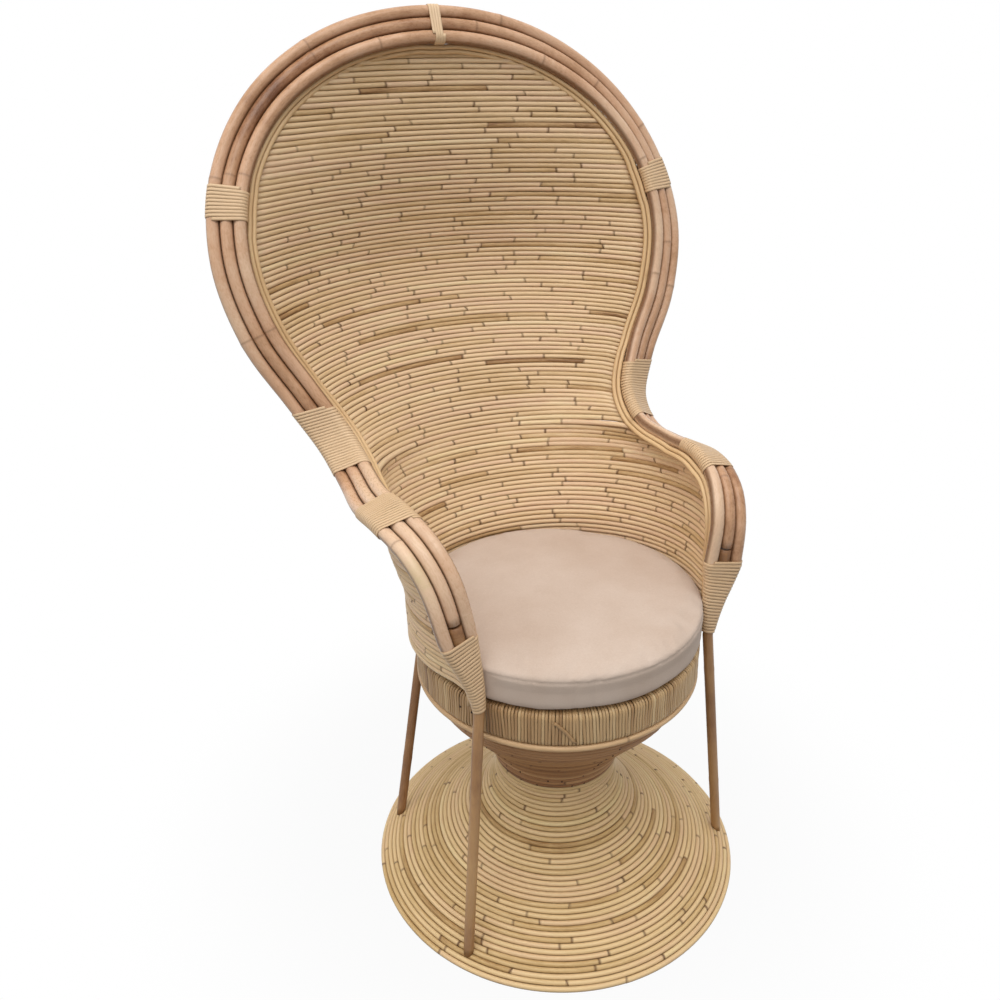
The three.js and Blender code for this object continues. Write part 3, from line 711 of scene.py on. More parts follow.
def drum_strips(chance):
    """Upright strips round the drum, each with a low crown and edges that touch the next"""
    section = drum_section()
    normal = unit(np.gradient(section, axis=0))
    normal = np.stack([-normal[:, 1], normal[:, 0]], axis=-1)
    rise = (drum_top - section[:, 1]) / (drum_top - drum_bottom)
    pitch = 2 * math.pi / drum_strip_count
    tubes = []
    lean, mood = 0, 0
    for k in range(drum_strip_count):
        lean = drum_lean[0] * lean + chance.normal(0, drum_lean[1])
        middle = pitch * k + pitch * (drum_strip_slant + lean) * (rise - 0.5)
        half = pitch / 2 * np.interp(rise, [0, 0.2, 0.8, 1], chance.normal(*drum_strip_fill, 4))
        lift = chance.normal(0, drum_strip_lift)
        mood = drum_mood[0] * mood + chance.normal(0, drum_mood[1])
        rings = []
        for side, proud in drum_strip_profile:
            angle = middle + side * half
            reach = section + normal * (proud + lift)
            rings.append(np.stack([reach[:, 0] * np.sin(angle), -reach[:, 0] * np.cos(angle),
                                   reach[:, 1]], axis=-1))
        tubes.append({
            "rings": np.stack(rings, axis=1), "along": grain(length_along(section), chance),
            "tone": np.clip(chance.normal(*drum_strip_tone) + mood, *tone_limits),
            # Painted shade along each strip's edges, where it meets the next strip.
            "gap_shade_and_mark": np.array([0.5, 0.1, 0, 0.1, 0.5]), "cut": 0.0,
        })
    return tubes


def strip_rings(points, across, out, profile):
    """A flat strip along a line, from a profile of places across it and heights above it"""
    return np.stack([points + across * side + out * proud for side, proud in profile], axis=1)


drum_chance = np.random.RandomState(31)
strip_cane = cane_look("strip_cane", strip_shades, shade(112, 76, 42), gloss=(0.32, 0.52))
drum_tubes = drum_strips(drum_chance)
tucked_points, tucked_along = smooth_line([
    around(drum_radius + tucked_proud, angle, height) for angle, height in tucked_end], 5)
tucked_out = unit(tucked_points * np.array([1, 1, 0]))
tucked_side = np.cross(tucked_out, tucked_along) * tucked_half_width
drum_tubes.append({
    "rings": strip_rings(tucked_points, tucked_side, tucked_out, tucked_profile),
    "along": length_along(tucked_points) / 1000, "tone": tucked_tone,
    # Painted shade along the tucked end's edges.
    "gap_shade_and_mark": np.array([1, 0.3, 0, 0.3, 1]), "cut": 0.0,
})
make_piece("drum_strips", drum_tubes, strip_cane, ["seat_band"])
drum_nails = []
for angle in drum_nail_angles:
    out = around(1, angle, 0)
    spot = around(drum_radius, angle, drum_nail_height)
    drum_nails.append(nail_head(spot, out, np.array([0, 0, 1])))
make_piece("drum_nails", drum_nails, nail_look, [])

ring_rod_out = np.array([around(1, angle, 0) for angle in np.linspace(0, 360, ring_rod_steps + 1)])
ring_rod_points = ring_rod_line * ring_rod_out + np.array([0, 0, ring_rod_height])
ring_rod_size = np.full(ring_rod_steps + 1, ring_rod_radius)
ring_rod_row = {
    "points": ring_rod_points, "outward": ring_rod_out, "length": length_along(ring_rod_points),
    "across": np.tile([0, 0, 1.0], (ring_rod_steps + 1, 1)),
    "over": ring_rod_size, "under": ring_rod_size, "thick": ring_rod_size,
}
ring_rod_tubes = cane_row(ring_rod_row, ring_rod_lengths, drum_chance, 0.45)
ring_rod_look = cane_look("ring_rod_cane", ring_rod_shades, painted_gap_shade, shade_and_mark_strength=0.0)
make_piece("drum_ring_rod", ring_rod_tubes, ring_rod_look, ["seat_ring_rod"])
for name in ("seat_pole_upper", "seat_pole_lower"):
    keep_node(name, bare_pole)

# Deck: a round board that the cushion lies on, carried by three bearers from side to side of the
# drum. Both are bare and dull, and show only when the cushion is lifted or the chair is tipped.
deck_board = bare_pole_look("deck_board", ramp_shades(
    (0, 150, 116, 78), (0.5, 188, 154, 108), (1, 206, 176, 132),
), (14.0, 160.0, 160.0))
keep_node("seat_deck", deck_board)
for k in range(1, 4):
    keep_node(f"deck_bearer_{k}", bare_pole)

# Frame: three thick poles side by side, steamed and bent in one sweep from the front of one arm over
# the back to the other arm. Pinkish tan, satin, with faint nodes, and painted shade as brown lines
# between them.
frame_half_width = 369
frame_reach = 427
frame_top = 1280
head_line = [(0, 1, 1), (0.419, 0.984, 0.969), (0.743, 0.929, 0.886), (0.938, 0.841, 0.769),
             (1, 0.749, 0.635), (0.94, 0.681, 0.507), (0.811, 0.622, 0.401)]
arm_line = [(1.206, 1.037, 0.322), (1.16, 0.746, 0.281), (1.178, 0.373, 0.276),
            (1.158, -0.01, 0.284), (1.092, -0.318, 0.266), (1.026, -0.485, 0.22)]
pole_rows = [
    (0, 0.42, 0.91), (0.35, 0.43, 0.83), (0.67, 0.48, 0.57), (0.87, 0.44, 0.22), (0.97, 0.23, -0.09),
    (0.92, 0.1, -0.38), (0.83, 0.13, -0.54), (0.8, 0.2, -0.57), (0.81, 0.14, -0.56),
    (0.88, -0.01, -0.47), (0.91, -0.12, -0.4), (0.93, -0.1, -0.34), (0.98, -0.04, -0.17),
    (0.97, -0.2, -0.1), (0.97, -0.25, 0), (0.97, -0.25, 0),
]
tuck_degrees = [50, 51, 48, 48, 38, 38, 58, 60, 67, 71, 70, 76, 82, 94, 112, 112]
pole_radius = 9.66
pole_pitch = 19.3
tip_radius = 4.4
tip_pitch = 13
leg_radius = 8
pole_sides = 18
place_step = 0.05
place_nudge = 0.002
node_swell = 0.045
node_swell_reach = 5.0
node_mark = 0.55
node_mark_reach = 1.8
node_mark_shift = 1.5
node_steps = (-9, -4, -1.5, 0, 1.5, 3, 5, 9)
pole_node_spacing = (190, 330)
pole_node_room = 60
pole_node_count = 16
pole_spacing = 12
pole_cut_darkness = 0.25
pole_tones = {"outer": 0.42, "middle": 0.36, "inner": 0.5}
arm_tones = {"outer": (0.15, -0.16), "middle": (0.2, -0.06), "inner": (0.2, 0.2)}
arm_tone_start = 950
arm_tone_fade = 60
tone_reach = 200
tone_step = 90
pole_tone_spread = 0.08
binding_place, tip_place, leg_place, foot_place = 13, 13.5, 14, 15
middle_pole_places = {"left": 12.75, "right": 12.63}
leg_start_places = {"left": 12.79, "right": 12.67}
leg_ring, leg_top, foot_ring, binding_ring = 230, 430, 280, 243
leg_angles = {"left": (-1, 54.3, 54.2), "right": (1, 65.7, 60.4)}
binding_rise = 0.617
binding_spans = {
    "left": {"upper": (446, 497), "waist": (794, 918), "arm": (1038, 1126)},
    "right": {"upper": (446, 497), "waist": (794, 918), "arm": (1048, 1146)},
}
leg_binding_places = {"left": (13.03, 14), "right": (12.88, 13.95)}
binding_slants = {"upper": 0, "waist": 0.42, "arm": 0.34, "leg": 0, "top": 0}
top_binding_half = 11
pole_shades = ramp_shades(
    (0, 118, 78, 52), (0.16, 154, 110, 78), (0.32, 186, 144, 110), (0.46, 203, 162, 130),
    (0.6, 210, 175, 145), (0.76, 220, 189, 159), (1, 204, 182, 142),
)


def skirt_height(x, y):
    """How high the outside of the skirt is over a point of the floor"""
    out = np.stack([skirt_direction[:, 1], -skirt_direction[:, 0]], axis=-1)
    face = skirt_profile + out * cane_thickness / 2
    return float(np.interp(-math.hypot(x, y), -face[:, 0], face[:, 1]))


def frame_run(name):
    """The frame's middle line and directions down one side, in fine even steps from the top"""
    side, foot_angle, top_angle = leg_angles[name]
    rise = frame_top - drum_top
    points = [np.array([x * frame_half_width, y * frame_reach, drum_top + z * rise])
              for x, y, z in head_line]
    points += [np.array([x * drum_radius, y * drum_radius, drum_top + z * rise])
               for x, y, z in arm_line]
    arm_end = points[-1]
    arm_angle = math.degrees(math.atan2(arm_end[0], -arm_end[1]))
    points.append(around(binding_ring, (arm_angle + top_angle) / 2,
                         leg_top + (arm_end[2] - leg_top) * binding_rise))
    points.append(around(leg_ring, top_angle, leg_top))
    foot = around(foot_ring, foot_angle, 0)
    foot[2] = skirt_height(foot[0], foot[1])
    points.append(foot)
    points = [points[1] * np.array([-1, 1, 1]), *points]
    rows = [np.array(row, float) for row in pole_rows]
    mirror = np.array([side, 1, 1])
    run = {key: [] for key in ("place", "centre", "along", "row", "front", "behind")}
    for place in np.arange(0, foot_place + 0.001, place_step):
        centre, before, after = (spline(points, min(place + 1 + nudge, len(points) - 1), even=False)
                                 for nudge in (0, -place_nudge, place_nudge))
        along = unit(after - before)
        row = spline(rows, place)
        row = unit(row - along * np.dot(row, along))
        front = np.cross(along, row)
        tuck = math.radians(np.interp(place, range(len(tuck_degrees)), tuck_degrees))
        behind = -row * math.cos(tuck) - front * math.sin(tuck)
        for key, value in zip(run, (place, centre, along, row, front, behind)):
            run[key].append(value if key == "place" else value * mirror)
    run = {key: np.array(values) for key, values in run.items()}
    run["length"] = length_along(run["centre"])
    return run


def read_run(run, key, value):
    """Everything about the frame at places or lengths down its side"""
    value = np.atleast_1d(value)
    found = {}
    for name, values in run.items():
        if values.ndim == 1:
            found[name] = np.interp(value, run[key], values)
        else:
            found[name] = read_line(value, run[key], values)
            if name != "centre":
                found[name] = unit(found[name])
    return found


def length_at(run, place):
    """How far down its side a place of the frame is"""
    return float(np.interp(place, run["place"], run["length"]))


def pole_offset(place):
    return np.interp(place, [binding_place, tip_place, leg_place], [pole_pitch, tip_pitch, leg_radius])


def pole_size(place):
    return np.interp(place, [binding_place, tip_place], [pole_radius, tip_radius])


def round_rod(run, centre, radius, sides, chance, tone, nodes, gaps=True):
    """A round pole along a line: nodes are the lengths where it has a slight ring"""
    length = length_along(centre)
    swell = np.zeros(len(length))
    mark = np.zeros(len(length))
    for spot in nodes:
        swell += node_swell * np.exp(-((length - spot) / node_swell_reach) ** 2)
        mark = np.maximum(
            mark, node_mark * np.exp(-((length - spot - node_mark_shift) / node_mark_reach) ** 2))
    angles = 2 * math.pi * np.arange(sides) / sides
    reach = (radius * (1 + swell))[:, None, None]
    rings = (centre[:, None] + run["row"][:, None] * np.cos(angles)[None, :, None] * reach
             + run["front"][:, None] * np.sin(angles)[None, :, None] * reach)
    # With gaps, shade is painted along the two sides that face the neighbouring poles or rods; the node
    # marks are the cane's own darker rings.
    gap_shade_and_mark = soften(np.abs(np.cos(angles)), 0.8, 1.0) if gaps else np.zeros(sides)
    return {
        "rings": rings, "along": grain(length, chance), "tone": tone,
        "gap_shade_and_mark": np.maximum(gap_shade_and_mark, mark[:, None]),
        "cut": cut_ends(length)[:, None] * pole_cut_darkness,
    }


runs = {name: frame_run(name) for name in leg_angles}


def whole_run(last_place, spacing, nodes=()):
    """Both sides of the frame as one line, from the left arm over the top to the right arm"""
    halves = {}
    for name, run in runs.items():
        end = length_at(run, last_place[name] if isinstance(last_place, dict) else last_place)
        spots = list(np.linspace(0, end, int(end / spacing) + 1))
        for spot in nodes:
            here = spot if name == "right" else -spot
            spots += [here + step for step in node_steps if 0 < here + step < end]
        halves[name] = read_run(run, "length", np.unique(spots))
    joined = {}
    for key in halves["left"]:
        left = halves["left"][key][::-1].copy()
        if key in ("length", "along"):
            left *= -1
        joined[key] = np.concatenate([left, halves["right"][key][1:]])
    return joined


pole_chance = np.random.RandomState(43)
pole_cane = cane_look("pole_cane", pole_shades, shade(104, 68, 42), patch_share=0.9,
                      patch_scale=6.0, streak_share=0.35, gloss=(0.2, 0.4), shade_and_mark_strength=0.85)
for name, share, last in (("outer", 1, tip_place), ("middle", 0, middle_pole_places),
                          ("inner", -1, tip_place)):
    reach = length_at(runs["left"], tip_place)
    spots = np.cumsum(pole_chance.uniform(*pole_node_spacing, pole_node_count)) - reach
    spots = spots[spots < reach - pole_node_room]
    line = whole_run(last, pole_spacing, spots)
    centre = line["centre"] + line["row"] * (share * pole_offset(line["place"]))[:, None]
    radius = pole_size(line["place"]) if share else pole_radius
    start = length_along(centre)
    nodes = np.interp(spots, line["length"], start)
    spread = np.arange(-reach - tone_reach, reach + tone_reach, tone_step)
    tone = np.interp(line["length"], spread, pole_chance.normal(
        pole_tones[name], pole_tone_spread, len(spread)))
    for side, change in zip((-1, 1), arm_tones[name]):
        tone += change * soften(side * line["length"], arm_tone_start - arm_tone_fade,
                                arm_tone_start + arm_tone_fade)
    tube = round_rod(line, centre, radius, pole_sides, pole_chance, tone[:, None], nodes)
    make_piece(f"frame_pole_{name}", [tube], pole_cane,
               [f"frame_pole_{name}_left", f"frame_pole_{name}_right"])

# Front legs: a straight thinner pole on each side. It starts inside the front binding, between the
# poles' ends, and its cut foot stands on the skirt. Browner than the frame, with a few nodes.
leg_head_radius = 9.6
leg_head_tone = 0.22
leg_tone = 0.5
leg_tone_places = (12.9, 13.1)
leg_node_shares = (0.38, 0.8)
leg_foot_radius = leg_radius * 0.98
leg_sides = 16
leg_rings = 70
foot_sink = 0.4
leg_shades = ramp_shades(
    (0, 98, 66, 42), (0.3, 142, 102, 68), (0.6, 172, 132, 90), (1, 192, 154, 108),
)
leg_look = cane_look("leg_pole", leg_shades, shade(80, 50, 30), patch_share=1.3, patch_scale=6.0,
                     streak_share=0.5, gloss=(0.34, 0.55), shade_and_mark_strength=0.0)
leg_chance = np.random.RandomState(53)


def cut_to_skirt(rings, rank):
    """Moves a pole's end corners onto the skirt"""
    for corner in rings[rank]:
        corner[2] = skirt_height(corner[0], corner[1]) - foot_sink


for name, run in runs.items():
    start, end = (length_at(run, place) for place in (leg_start_places[name], foot_place))
    line = read_run(run, "length", np.linspace(start, end, leg_rings))
    size = np.interp(line["place"], [binding_place, tip_place], [leg_head_radius, leg_foot_radius])
    below = line["place"] > leg_place
    bend = np.flatnonzero(~below)[-1]
    length, centre = line["length"], line["centre"]
    down = np.clip((length - length[bend]) / (length[-1] - length[bend]), 0, 1)[:, None]
    centre = np.where(below[:, None], centre[bend] * (1 - down) + centre[-1] * down, centre)
    tone = np.interp(line["place"], leg_tone_places, [leg_head_tone, leg_tone])[:, None]
    tube = round_rod(line, centre, size, leg_sides, leg_chance, tone,
                     [(end - start) * share for share in leg_node_shares], gaps=False)
    cut_to_skirt(tube["rings"], -1)
    make_piece(f"front_leg_pole_{name}", [tube], leg_look, [f"front_leg_{name}"])

# Edge rods: two thin pale canes bent along behind the inner pole from arm to arm, nailed over the
# cut ends of the back's rows. They are the palest canes of the chair.
edge_rod_radius = 3.75
edge_rod_reaches = {"outer": 13.42, "inner": 20.95}
edge_rod_bow = 1.9
edge_rod_bow_length = 22
edge_rod_sides = 12
edge_rod_tone = 0.6
edge_node_spacing = (180, 340)
edge_node_count = 9
edge_shades = ramp_shades(
    (0, 148, 110, 70), (0.2, 188, 150, 104), (0.45, 210, 175, 130), (0.7, 220, 188, 144),
    (1, 226, 198, 152),
)
edge_cane = cane_look("edge_cane", edge_shades, shade(128, 90, 52), patch_share=1.0, shade_and_mark_strength=0.7)
edge_chance = np.random.RandomState(61)


def behind_pole(line, reach):
    """Points behind the inner pole, at a distance from its middle"""
    offset = pole_offset(line["place"])[:, None]
    return line["centre"] - line["row"] * offset + line["behind"] * reach


def bow_over_bindings(length):
    """How far an edge rod stands off the pole to clear the strip wound round it"""
    spans = [(-top_binding_half, top_binding_half), *binding_spans["left"].values()]
    near = [np.maximum(first - np.abs(length), np.abs(length) - last) if first > 0
            else np.abs(length) - last for first, last in spans]
    near.append(length_at(runs["left"], binding_place) - np.abs(length))
    return edge_rod_bow * (1 - soften(np.min(near, axis=0), 0, edge_rod_bow_length))


for name, reach in edge_rod_reaches.items():
    line = whole_run(leg_place, pole_spacing)
    centre = behind_pole(line, (reach + bow_over_bindings(line["length"]))[:, None])
    turned = dict(line, row=line["behind"], front=unit(np.cross(line["along"], line["behind"])))
    tube = round_rod(turned, centre, edge_rod_radius, edge_rod_sides, edge_chance, edge_rod_tone,
                     np.cumsum(edge_chance.uniform(*edge_node_spacing, edge_node_count)))
    make_piece(f"edge_cane_{name}", [tube], edge_cane, [f"edge_rod_{name}"])

# Back: about a hundred and ten rows of pencil cane, from edge to edge, stacked and nailed into one
# curved wall that is the back above and the inside of the arms below. Each row is a few lengths.
back_spine = [
    (450, 1250), (434, 1240), (440, 1110), (464, 980), (470, 915), (446, 855), (368, 750), (331, 690),
    (305, 628), (263, 565), (230, 515), (227, 480), (227, 434),
]
row_rises = [0, 3, 5, 10, 10, 8, 5, 0, -21, -23, -35, -50, -50, -30, 0, 0]
back_piece_lengths = (60, 260)
back_end_reach = 9
back_end_tuck = 10.8
back_columns = 72
low_rows_place = 12.9
low_rows_share = 0.8
lowest_row = 431
back_tone = (0.55, 0.06)
dark_row_share = 0.04
dark_row_change = 0.16
row_half_limits = (1.5, 5)
top_row_place = 0.24
spine_steps = 500
back_tuck_fade = (4, 36)
row_end_taper = (14, 0.8)
spine = smooth_line(back_spine[1:], 2)[0]


def spine_point(height):
    rank = np.argsort(spine[:, 1])
    return np.array([0, np.interp(height, spine[rank, 1], spine[rank, 0]), height])


def arc(a, b, c, steps):
    """Even points on the round arc from a through b to c"""
    ab, ac = b - a, c - a
    axis = np.cross(ab, ac)
    centre = a + (np.cross(axis, ab) * np.dot(ac, ac) + np.cross(ac, axis) * np.dot(ab, ab)) / (
        2 * np.dot(axis, axis))
    axis = unit(axis)
    start, end = a - centre, c - centre
    side = np.cross(axis, start)
    sweep = math.atan2(np.dot(end, side), np.dot(end, start)) % (2 * math.pi)
    turns = sweep * np.arange(steps + 1) / steps
    return centre + start * np.cos(turns)[:, None] + side * np.sin(turns)[:, None]


def back_row_points(place):
    """One row's line, from the left edge to the right edge"""
    closed_up = place - (1 - low_rows_share) * max(0, place - low_rows_place)
    ends = []
    heights = []
    for run in (runs["left"], runs["right"]):
        ends.append(behind_pole(read_run(run, "place", closed_up), back_end_reach)[0])
        heights.append(behind_pole(read_run(run, "place", place), back_end_reach)[0][2])
    height = sum(heights) / 2 + float(np.interp(place, range(16), row_rises))
    return arc(ends[0], spine_point(max(height, lowest_row)), ends[1], back_columns)


places = np.linspace(top_row_place, leg_place, spine_steps)
middles = np.array([back_row_points(place)[back_columns // 2] for place in places])
down_the_back = length_along(middles)
row_count = round(down_the_back[-1] / cane_thickness) + 1
row_places = np.interp(np.linspace(0, down_the_back[-1], row_count), down_the_back, places)
back_grid = np.array([back_row_points(place) for place in row_places])


def back_directions():
    """Which way the back's outside faces, and which way is up, at each point of its rows"""
    along = unit(np.gradient(back_grid, axis=1))
    outward = unit(np.cross(np.gradient(back_grid, axis=0), along))
    outward *= np.sign(np.mean(outward[:, back_columns // 2, 1]))
    above = unit(np.cross(along, outward))
    return outward, above * np.sign(above[row_count // 2, back_columns // 2, 2])


back_outward, back_above = back_directions()


def back_rows():
    """Each row with its directions, and half its distance to the rows above and below it"""
    half = np.zeros((row_count, back_columns + 1))
    for k in range(row_count - 1):
        apart = np.linalg.norm(back_grid[k][:, None] - back_grid[k + 1][None], axis=-1)
        half[k + 1] = apart.min(axis=0) / 2
    half[0] = half[1]
    for k in range(row_count):
        length = length_along(back_grid[k])
        ends = np.minimum(length, length[-1] - length)
        tuck = back_end_tuck * (1 - soften(ends, *back_tuck_fade))
        over, under = (np.clip(half[rank], *row_half_limits)
                       for rank in (k, min(k + 1, row_count - 1)))
        yield {"points": back_grid[k] + back_outward[k] * tuck[:, None],
               "outward": back_outward[k], "across": back_above[k],
               "length": length, "over": over, "under": under,
               "thick": cane_thickness / 2 * np.interp(
                   ends, [0, row_end_taper[0]], [row_end_taper[1], 1])}


back_chance = np.random.RandomState(71)
back_tubes = []
for row in back_rows():
    mood = back_chance.normal(*back_tone)
    if back_chance.random() < dark_row_share:
        mood -= dark_row_change
    back_tubes += cane_row(row, back_piece_lengths, back_chance, mood)
make_piece("back_rows", back_tubes, straw_cane, ["back_wall"])

# Back ribs: three upright poles behind the back, from under the edge rods down to the drum, which
# the rows are nailed to from the front. Bare and dull, seen only from behind.
back_rib_radius = 7
back_rib_pitch = 95
back_rib_sides = 14
back_rib_tone = 0.5
back_rib_nodes = (120, 390, 640)
back_rib_first_row = 4
rib_room = 0.4
rib_chance = np.random.RandomState(83)
rib_look = cane_look("rib_pole", leg_shades, shade(80, 50, 30), patch_share=1.1, streak_share=0.5,
                     gloss=(0.4, 0.62), shade_and_mark_strength=0.0)


def beside_back(across, distance):
    """A line down the outside of the back, so far across from its middle and so far off its rows"""
    points, outs = [], []
    for k in range(back_rib_first_row, row_count, 2):
        line = back_grid[k] + back_outward[k] * distance
        points.append(read_line(across, line[:, 0], line))
        outs.append(read_line(across, line[:, 0], back_outward[k]))
    return np.array(points), unit(np.array(outs))


def rod_line(points, outs):
    """The two directions across a rod along its line, from the way that one side of it faces"""
    direction = unit(np.gradient(points, axis=0))
    side = unit(np.cross(direction, outs))
    return {"row": side, "front": unit(np.cross(side, direction))}


for place in (-1, 0, 1):
    points, outs = beside_back(place * back_rib_pitch, cane_thickness / 2 + rib_room + back_rib_radius)
    tube = round_rod(rod_line(points, outs), points, back_rib_radius, back_rib_sides,
                     rib_chance, back_rib_tone, back_rib_nodes, gaps=False)
    make_piece(f"back_rib_pole_{place + 2}", [tube], rib_look, [f"back_rib_{place + 2}"])

# Rear legs: two thin brown poles. Each is nailed against the outside of the back's foot and runs
# down to the skirt, on which its cut end stands.
rear_foot_ring = 273
rear_foot_angle = 122.3
rear_leg_heights = (479, 430)
rear_leg_room = 0.6
rear_leg_tone = 0.42
rear_leg_nodes = (150, 360)
for name, share in (("left", 5 / 14), ("right", 9 / 14)):
    column = round(share * back_columns)
    depth = cane_thickness / 2 + rear_leg_room + leg_radius
    lapped = []
    for height in rear_leg_heights:
        rank = int(np.argmin(np.abs(back_grid[:, column, 2] - height)))
        spot = back_grid[rank, column]
        out = unit(np.array([spot[0], spot[1], 0]))
        lapped.append(spot + out * depth)
    foot = around(rear_foot_ring, leg_angles[name][0] * rear_foot_angle, 0)
    foot[2] = skirt_height(foot[0], foot[1])
    knots = np.array([*lapped, foot])
    length = length_along(knots)
    spots = np.unique(np.concatenate([np.linspace(0, length[-1], 40), [length[1]]]))
    points = read_line(spots, length, knots)
    tube = round_rod(rod_line(points, out), points, leg_foot_radius, leg_sides, leg_chance,
                     rear_leg_tone, rear_leg_nodes, gaps=False)
    cut_to_skirt(tube["rings"], -1)
    make_piece(f"rear_leg_pole_{name}", [tube], leg_look, [f"rear_leg_{name}"])

# Bindings: flat cane strip wound tightly round the three poles, one unbroken strip in each place:
# at the top, at the head's widest, at the waist, on the arms, and down over the legs' tops.
strip_width = 5.3
strip_pitch = 5.5
strip_thickness = 1.1
strip_lift = 0.35
binding_shades = ramp_shades(
    (0, 156, 120, 82), (0.2, 190, 156, 116), (0.45, 212, 181, 143), (0.7, 222, 193, 158),
    (1, 230, 206, 174),
)
binding_cane = cane_look("binding_cane", binding_shades, shade(146, 106, 70), patch_share=0.35,
                         streak_share=0.6, gloss=(0.34, 0.52), shade_and_mark_strength=0.6)
binding_chance = np.random.RandomState(97)
binding_steps = 34
binding_profile = ((-0.5, 0), (-0.4, 0.75), (0, 1), (0.4, 0.75), (0.5, 0))


def winding(run, first, last, slant, chance):
    """One strip wound round the three poles between two lengths down the frame. Its turns slant, so
    that they pass the inner pole lower than the outer one."""
    turns = (last - first) / strip_pitch
    steps = int(turns * binding_steps) + 1
    spots = first + strip_width / 2 + (last - first - strip_width) * np.arange(steps) / (steps - 1)
    line = read_run(run, "length", spots)
    place = line["place"]
    half_height = np.maximum(pole_size(place), leg_radius) + strip_lift
    half_length = np.interp(place, [tip_place, leg_place], [1, 0]) * (
        pole_offset(np.minimum(place, tip_place)) + pole_size(place) + strip_lift - half_height
    ) + half_height
    flat = half_length - half_height
    half_round = 2 * flat + math.pi * half_height
    walked = (turns * np.arange(steps) / (steps - 1)) % 1 * 2 * half_round
    behind = walked >= half_round
    walked = walked - half_round * behind
    straight = walked < 2 * flat
    bend = (walked - 2 * flat) / half_height
    facing = np.where(behind, -1, 1)
    out_x = facing * np.where(straight, 0, np.sin(bend))
    out_y = facing * np.where(straight, 1, np.cos(bend))
    x = facing * np.where(straight, walked - flat, flat + half_height * np.sin(bend))
    y = half_height * out_y
    line = read_run(run, "length", spots - slant * x)
    base = line["centre"] + line["row"] * x[:, None] + line["front"] * y[:, None]
    out = line["row"] * out_x[:, None] + line["front"] * out_y[:, None]
    return {
        "rings": strip_rings(base, line["along"] * strip_width, out * strip_thickness, binding_profile),
        "along": grain(length_along(base), chance), "tone": np.clip(chance.normal(0.55, 0.08), 0, 1),
        # Painted shade along the strip's edges, where each turn meets the next.
        "gap_shade_and_mark": np.array([1, 0.3, 0, 0.3, 1]), "cut": 0.0,
    }


for side, run in runs.items():
    for name, (first, last) in binding_spans[side].items():
        tube = winding(run, first, last, binding_slants[name], binding_chance)
        make_piece(f"winding_{name}_{side}", [tube], binding_cane,
                   [f"binding_{name}_{side}"])
    first, last = (length_at(run, place) for place in leg_binding_places[side])
    tube = winding(run, first, last, binding_slants["leg"], binding_chance)
    make_piece(f"winding_leg_{side}", [tube], binding_cane, [f"binding_leg_{side}"])
top_run = whole_run(last_place=2, spacing=6)
tube = winding(top_run, -top_binding_half, top_binding_half, binding_slants["top"], binding_chance)
make_piece("winding_top", [tube], binding_cane, ["binding_top"])

# Cushion: a loose round pad, foam in a plain fine cloth, pinkish beige. Its cover is cut as two
# discs and a side strip, sewn with plain seams, and it lies on the deck inside the back and arms.
cushion_radius = 219
cushion_reach = 219.6
cushion_bottom = 436.6
cushion_side = 60
cushion_round = 12
cushion_crown = 6
cushion_voxel = 0.005
cushion_swell = 0.005
cushion_filling = {
    "quality": 5, "mass": 0.3, "tension_stiffness": 18, "compression_stiffness": 18,
    "shear_stiffness": 8, "bending_stiffness": 0.6, "use_pressure": True,
    "uniform_pressure_force": 4,
}
cushion_filling_frames = 20
cushion_taper = 1.5
cushion_girth = 219
cushion_stretch = [(436, 1.02), (446, 1.008), (470, 1), (486, 1.004), (494, 1.013), (508, 1.018)]
cushion_lowest = 0.2
cushion_highest = 508
cushion_steps = 120
cushion_corner_steps = 6
cushion_inset = 3
cushion_seams = ((51, 1.1), (5, 0.5))
seam_reach = 1.7
dent_count = 14
dent_sizes = (40, 90)
dent_deep = 0.7
dent_field = 190
edge_band = (14, 4)
taper_room = 8
crease_count = 9
crease_depths = (0.3, 1.1)
crease_width = 5
leg_dent = 2.2
leg_dent_degrees = 7
cloth_shade = shade(204, 187, 174)
cloth_shadow = shade(189, 168, 152)


def cushion_start():
    """The pad before it fills out: a low drum with round edges"""
    corner = cushion_radius - cushion_inset - cushion_round
    low, high = cushion_bottom + cushion_inset, cushion_bottom + cushion_side
    reach = (cushion_round, cushion_round)
    outline = [
        (0, low),
        *quarter_round((corner, low + cushion_round), reach, 180, 90, cushion_corner_steps),
        *quarter_round((corner, high - cushion_round), reach, 90, 0, cushion_corner_steps),
        (cushion_radius * 0.5, high + cushion_crown * 0.7), (0, high + cushion_crown),
    ]
    steps = cushion_steps
    corners, faces = [], []
    for radius, height in outline[1:-1]:
        for k in range(steps):
            turn = 2 * math.pi * k / steps
            corners.append((radius * math.sin(turn), -radius * math.cos(turn), height))
    rows = len(outline) - 2
    for i in range(rows - 1):
        for k in range(steps):
            a, b = i * steps + k, i * steps + (k + 1) % steps
            faces.append((a, b, b + steps, a + steps))
    corners += [(0, 0, outline[0][1]), (0, 0, outline[-1][1])]
    for k in range(steps):
        last = (rows - 1) * steps
        faces.append((rows * steps, (k + 1) % steps, k))
        faces.append((rows * steps + 1, last + k, last + (k + 1) % steps))
    mesh = bpy.data.meshes.new("seat_pad")
    mesh.from_pydata(in_frame(corners).tolist(), [], faces)
    return mesh


def settled(piece):
    """The piece's mesh as its modifiers leave it"""
    depsgraph = bpy.context.evaluated_depsgraph_get()
    return bpy.data.meshes.new_from_object(piece.evaluated_get(depsgraph))


def read_corners(mesh):
    spots = np.zeros(len(mesh.vertices) * 3)
    mesh.vertices.foreach_get("co", spots)
    return spots.reshape(-1, 3)


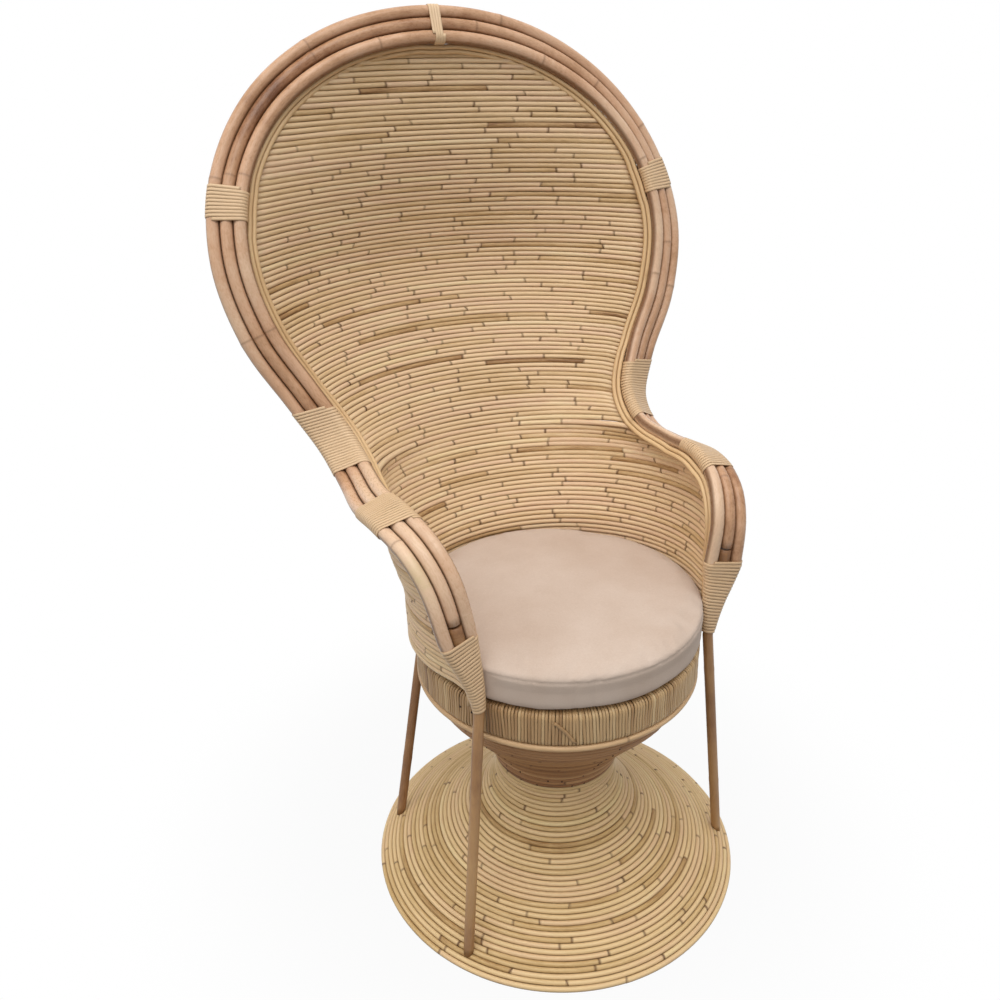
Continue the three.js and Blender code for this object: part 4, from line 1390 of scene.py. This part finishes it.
seat_pad = put("seat_pad", cushion_start())
remesh = seat_pad.modifiers.new("even", "REMESH")
remesh.mode = "VOXEL"
remesh.voxel_size = cushion_voxel
seat_pad.data = settled(seat_pad)
seat_pad.modifiers.clear()
before = read_corners(seat_pad.data)
cloth = seat_pad.modifiers.new("filling", "CLOTH")
for key, value in cushion_filling.items():
    setattr(cloth.settings, key, value)
cloth.settings.effector_weights.gravity = 0
for step in range(1, cushion_filling_frames + 1):
    bpy.context.scene.frame_set(step)
filled = settled(seat_pad)
move = read_corners(filled) - before
far = np.linalg.norm(move, axis=1, keepdims=True)
move *= np.minimum(1, cushion_swell / np.maximum(far, 1e-9))
seat_pad.modifiers.clear()
bpy.context.scene.frame_set(1)
seat_pad.data.vertices.foreach_set("co", (before + move).ravel())
fine = seat_pad.modifiers.new("fine", "SUBSURF")
fine.levels = 1
fine.render_levels = 1
seat_pad.data = settled(seat_pad)
seat_pad.modifiers.clear()

pad_chance = np.random.RandomState(101)
pad = (read_corners(seat_pad.data) - seat_axis) * 1000
pad_radius = np.hypot(pad[:, 0], pad[:, 1])
stretch = cushion_girth / pad_radius.max() * np.interp(pad[:, 2], *zip(*cushion_stretch))
pad[:, :2] *= stretch[:, None]
pad_radius *= stretch
pad_turn = np.arctan2(pad[:, 0], -pad[:, 1])


def draw_in(amount):
    """Moves the cover in, towards the seat's axis"""
    pad[:, :2] *= (1 - amount / np.maximum(pad_radius, 1))[:, None]


dents = np.zeros(len(pad))
for _ in range(dent_count):
    spot = pad_chance.uniform(-dent_field, dent_field, 2)
    size = pad_chance.uniform(*dent_sizes)
    away = np.sum((pad[:, :2] - spot) ** 2, axis=1)
    dents += pad_chance.normal(0, dent_deep) * np.exp(-away / size ** 2)
pad[:, 2] += np.where(pad[:, 2] > cushion_bottom + cushion_side / 2, dents, 0)
side_share = soften(pad_radius, *(cushion_radius - inside for inside in edge_band))
for height, deep in cushion_seams:
    draw_in(deep * np.exp(-((pad[:, 2] - cushion_bottom - height) / seam_reach) ** 2) * side_share)
draw_in(cushion_taper * side_share * (
    1 - soften(pad[:, 2], cushion_bottom, cushion_bottom + cushion_side - taper_room)))
creases = np.zeros(len(pad))
for _ in range(crease_count):
    turn = pad_chance.uniform(-math.pi, math.pi)
    away = (pad_turn - turn + math.pi) % (2 * math.pi) - math.pi
    creases += pad_chance.uniform(*crease_depths) * np.exp(-(away * cushion_radius / crease_width) ** 2)
draw_in(side_share * creases)
pad_radius = np.hypot(pad[:, 0], pad[:, 1])
room = np.full(len(pad), float(cushion_reach))
for side, _, top_angle in leg_angles.values():
    room -= leg_dent * np.exp(-((np.degrees(pad_turn) - side * top_angle) / leg_dent_degrees) ** 2)
draw_in(np.maximum(0, pad_radius - room))
pad[:, 2] = np.clip(pad[:, 2], cushion_bottom - cushion_lowest, cushion_highest)
seat_pad.data.vertices.foreach_set("co", in_frame(pad).ravel())
seat_pad.data.update()
smooth_faces(seat_pad)

cushion_cloth, cloth_shader = new_look("cushion_cloth")
threads = []
for scale in ((1500.0, 180.0, 1500.0), (180.0, 1500.0, 1500.0)):
    stretched = add_node(cushion_cloth, "ShaderNodeMapping", {
        "Vector": where_on(cushion_cloth), "Scale": scale,
    })
    threads.append(noise(cushion_cloth, stretched.outputs[0], 1.0, 2.0, 0.5))
weave = sum_of(cushion_cloth, threads[0], threads[1])
cloth_place = sum_of(
    cushion_cloth, weave, sum_of(cushion_cloth, spot_noise(cushion_cloth, 9.0), -0.5), 0.5)
feed(cushion_cloth, cloth_shader, {
    "Base Color": ramp(cushion_cloth, cloth_place, [(0.2, cloth_shadow), (0.75, cloth_shade)]),
    "Roughness": dullness(cushion_cloth, weave, 0.84, 0.97, (0.6, 1)),
    "Specular IOR Level": 0.2, "Sheen Weight": 0.12, "Sheen Roughness": 0.5,
    "Normal": bump(cushion_cloth, weave, 0.25, 0.0004),
})
seat_pad.data.materials.clear()
seat_pad.data.materials.append(cushion_cloth)
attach(seat_pad, "cushion")
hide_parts("seat_cushion")
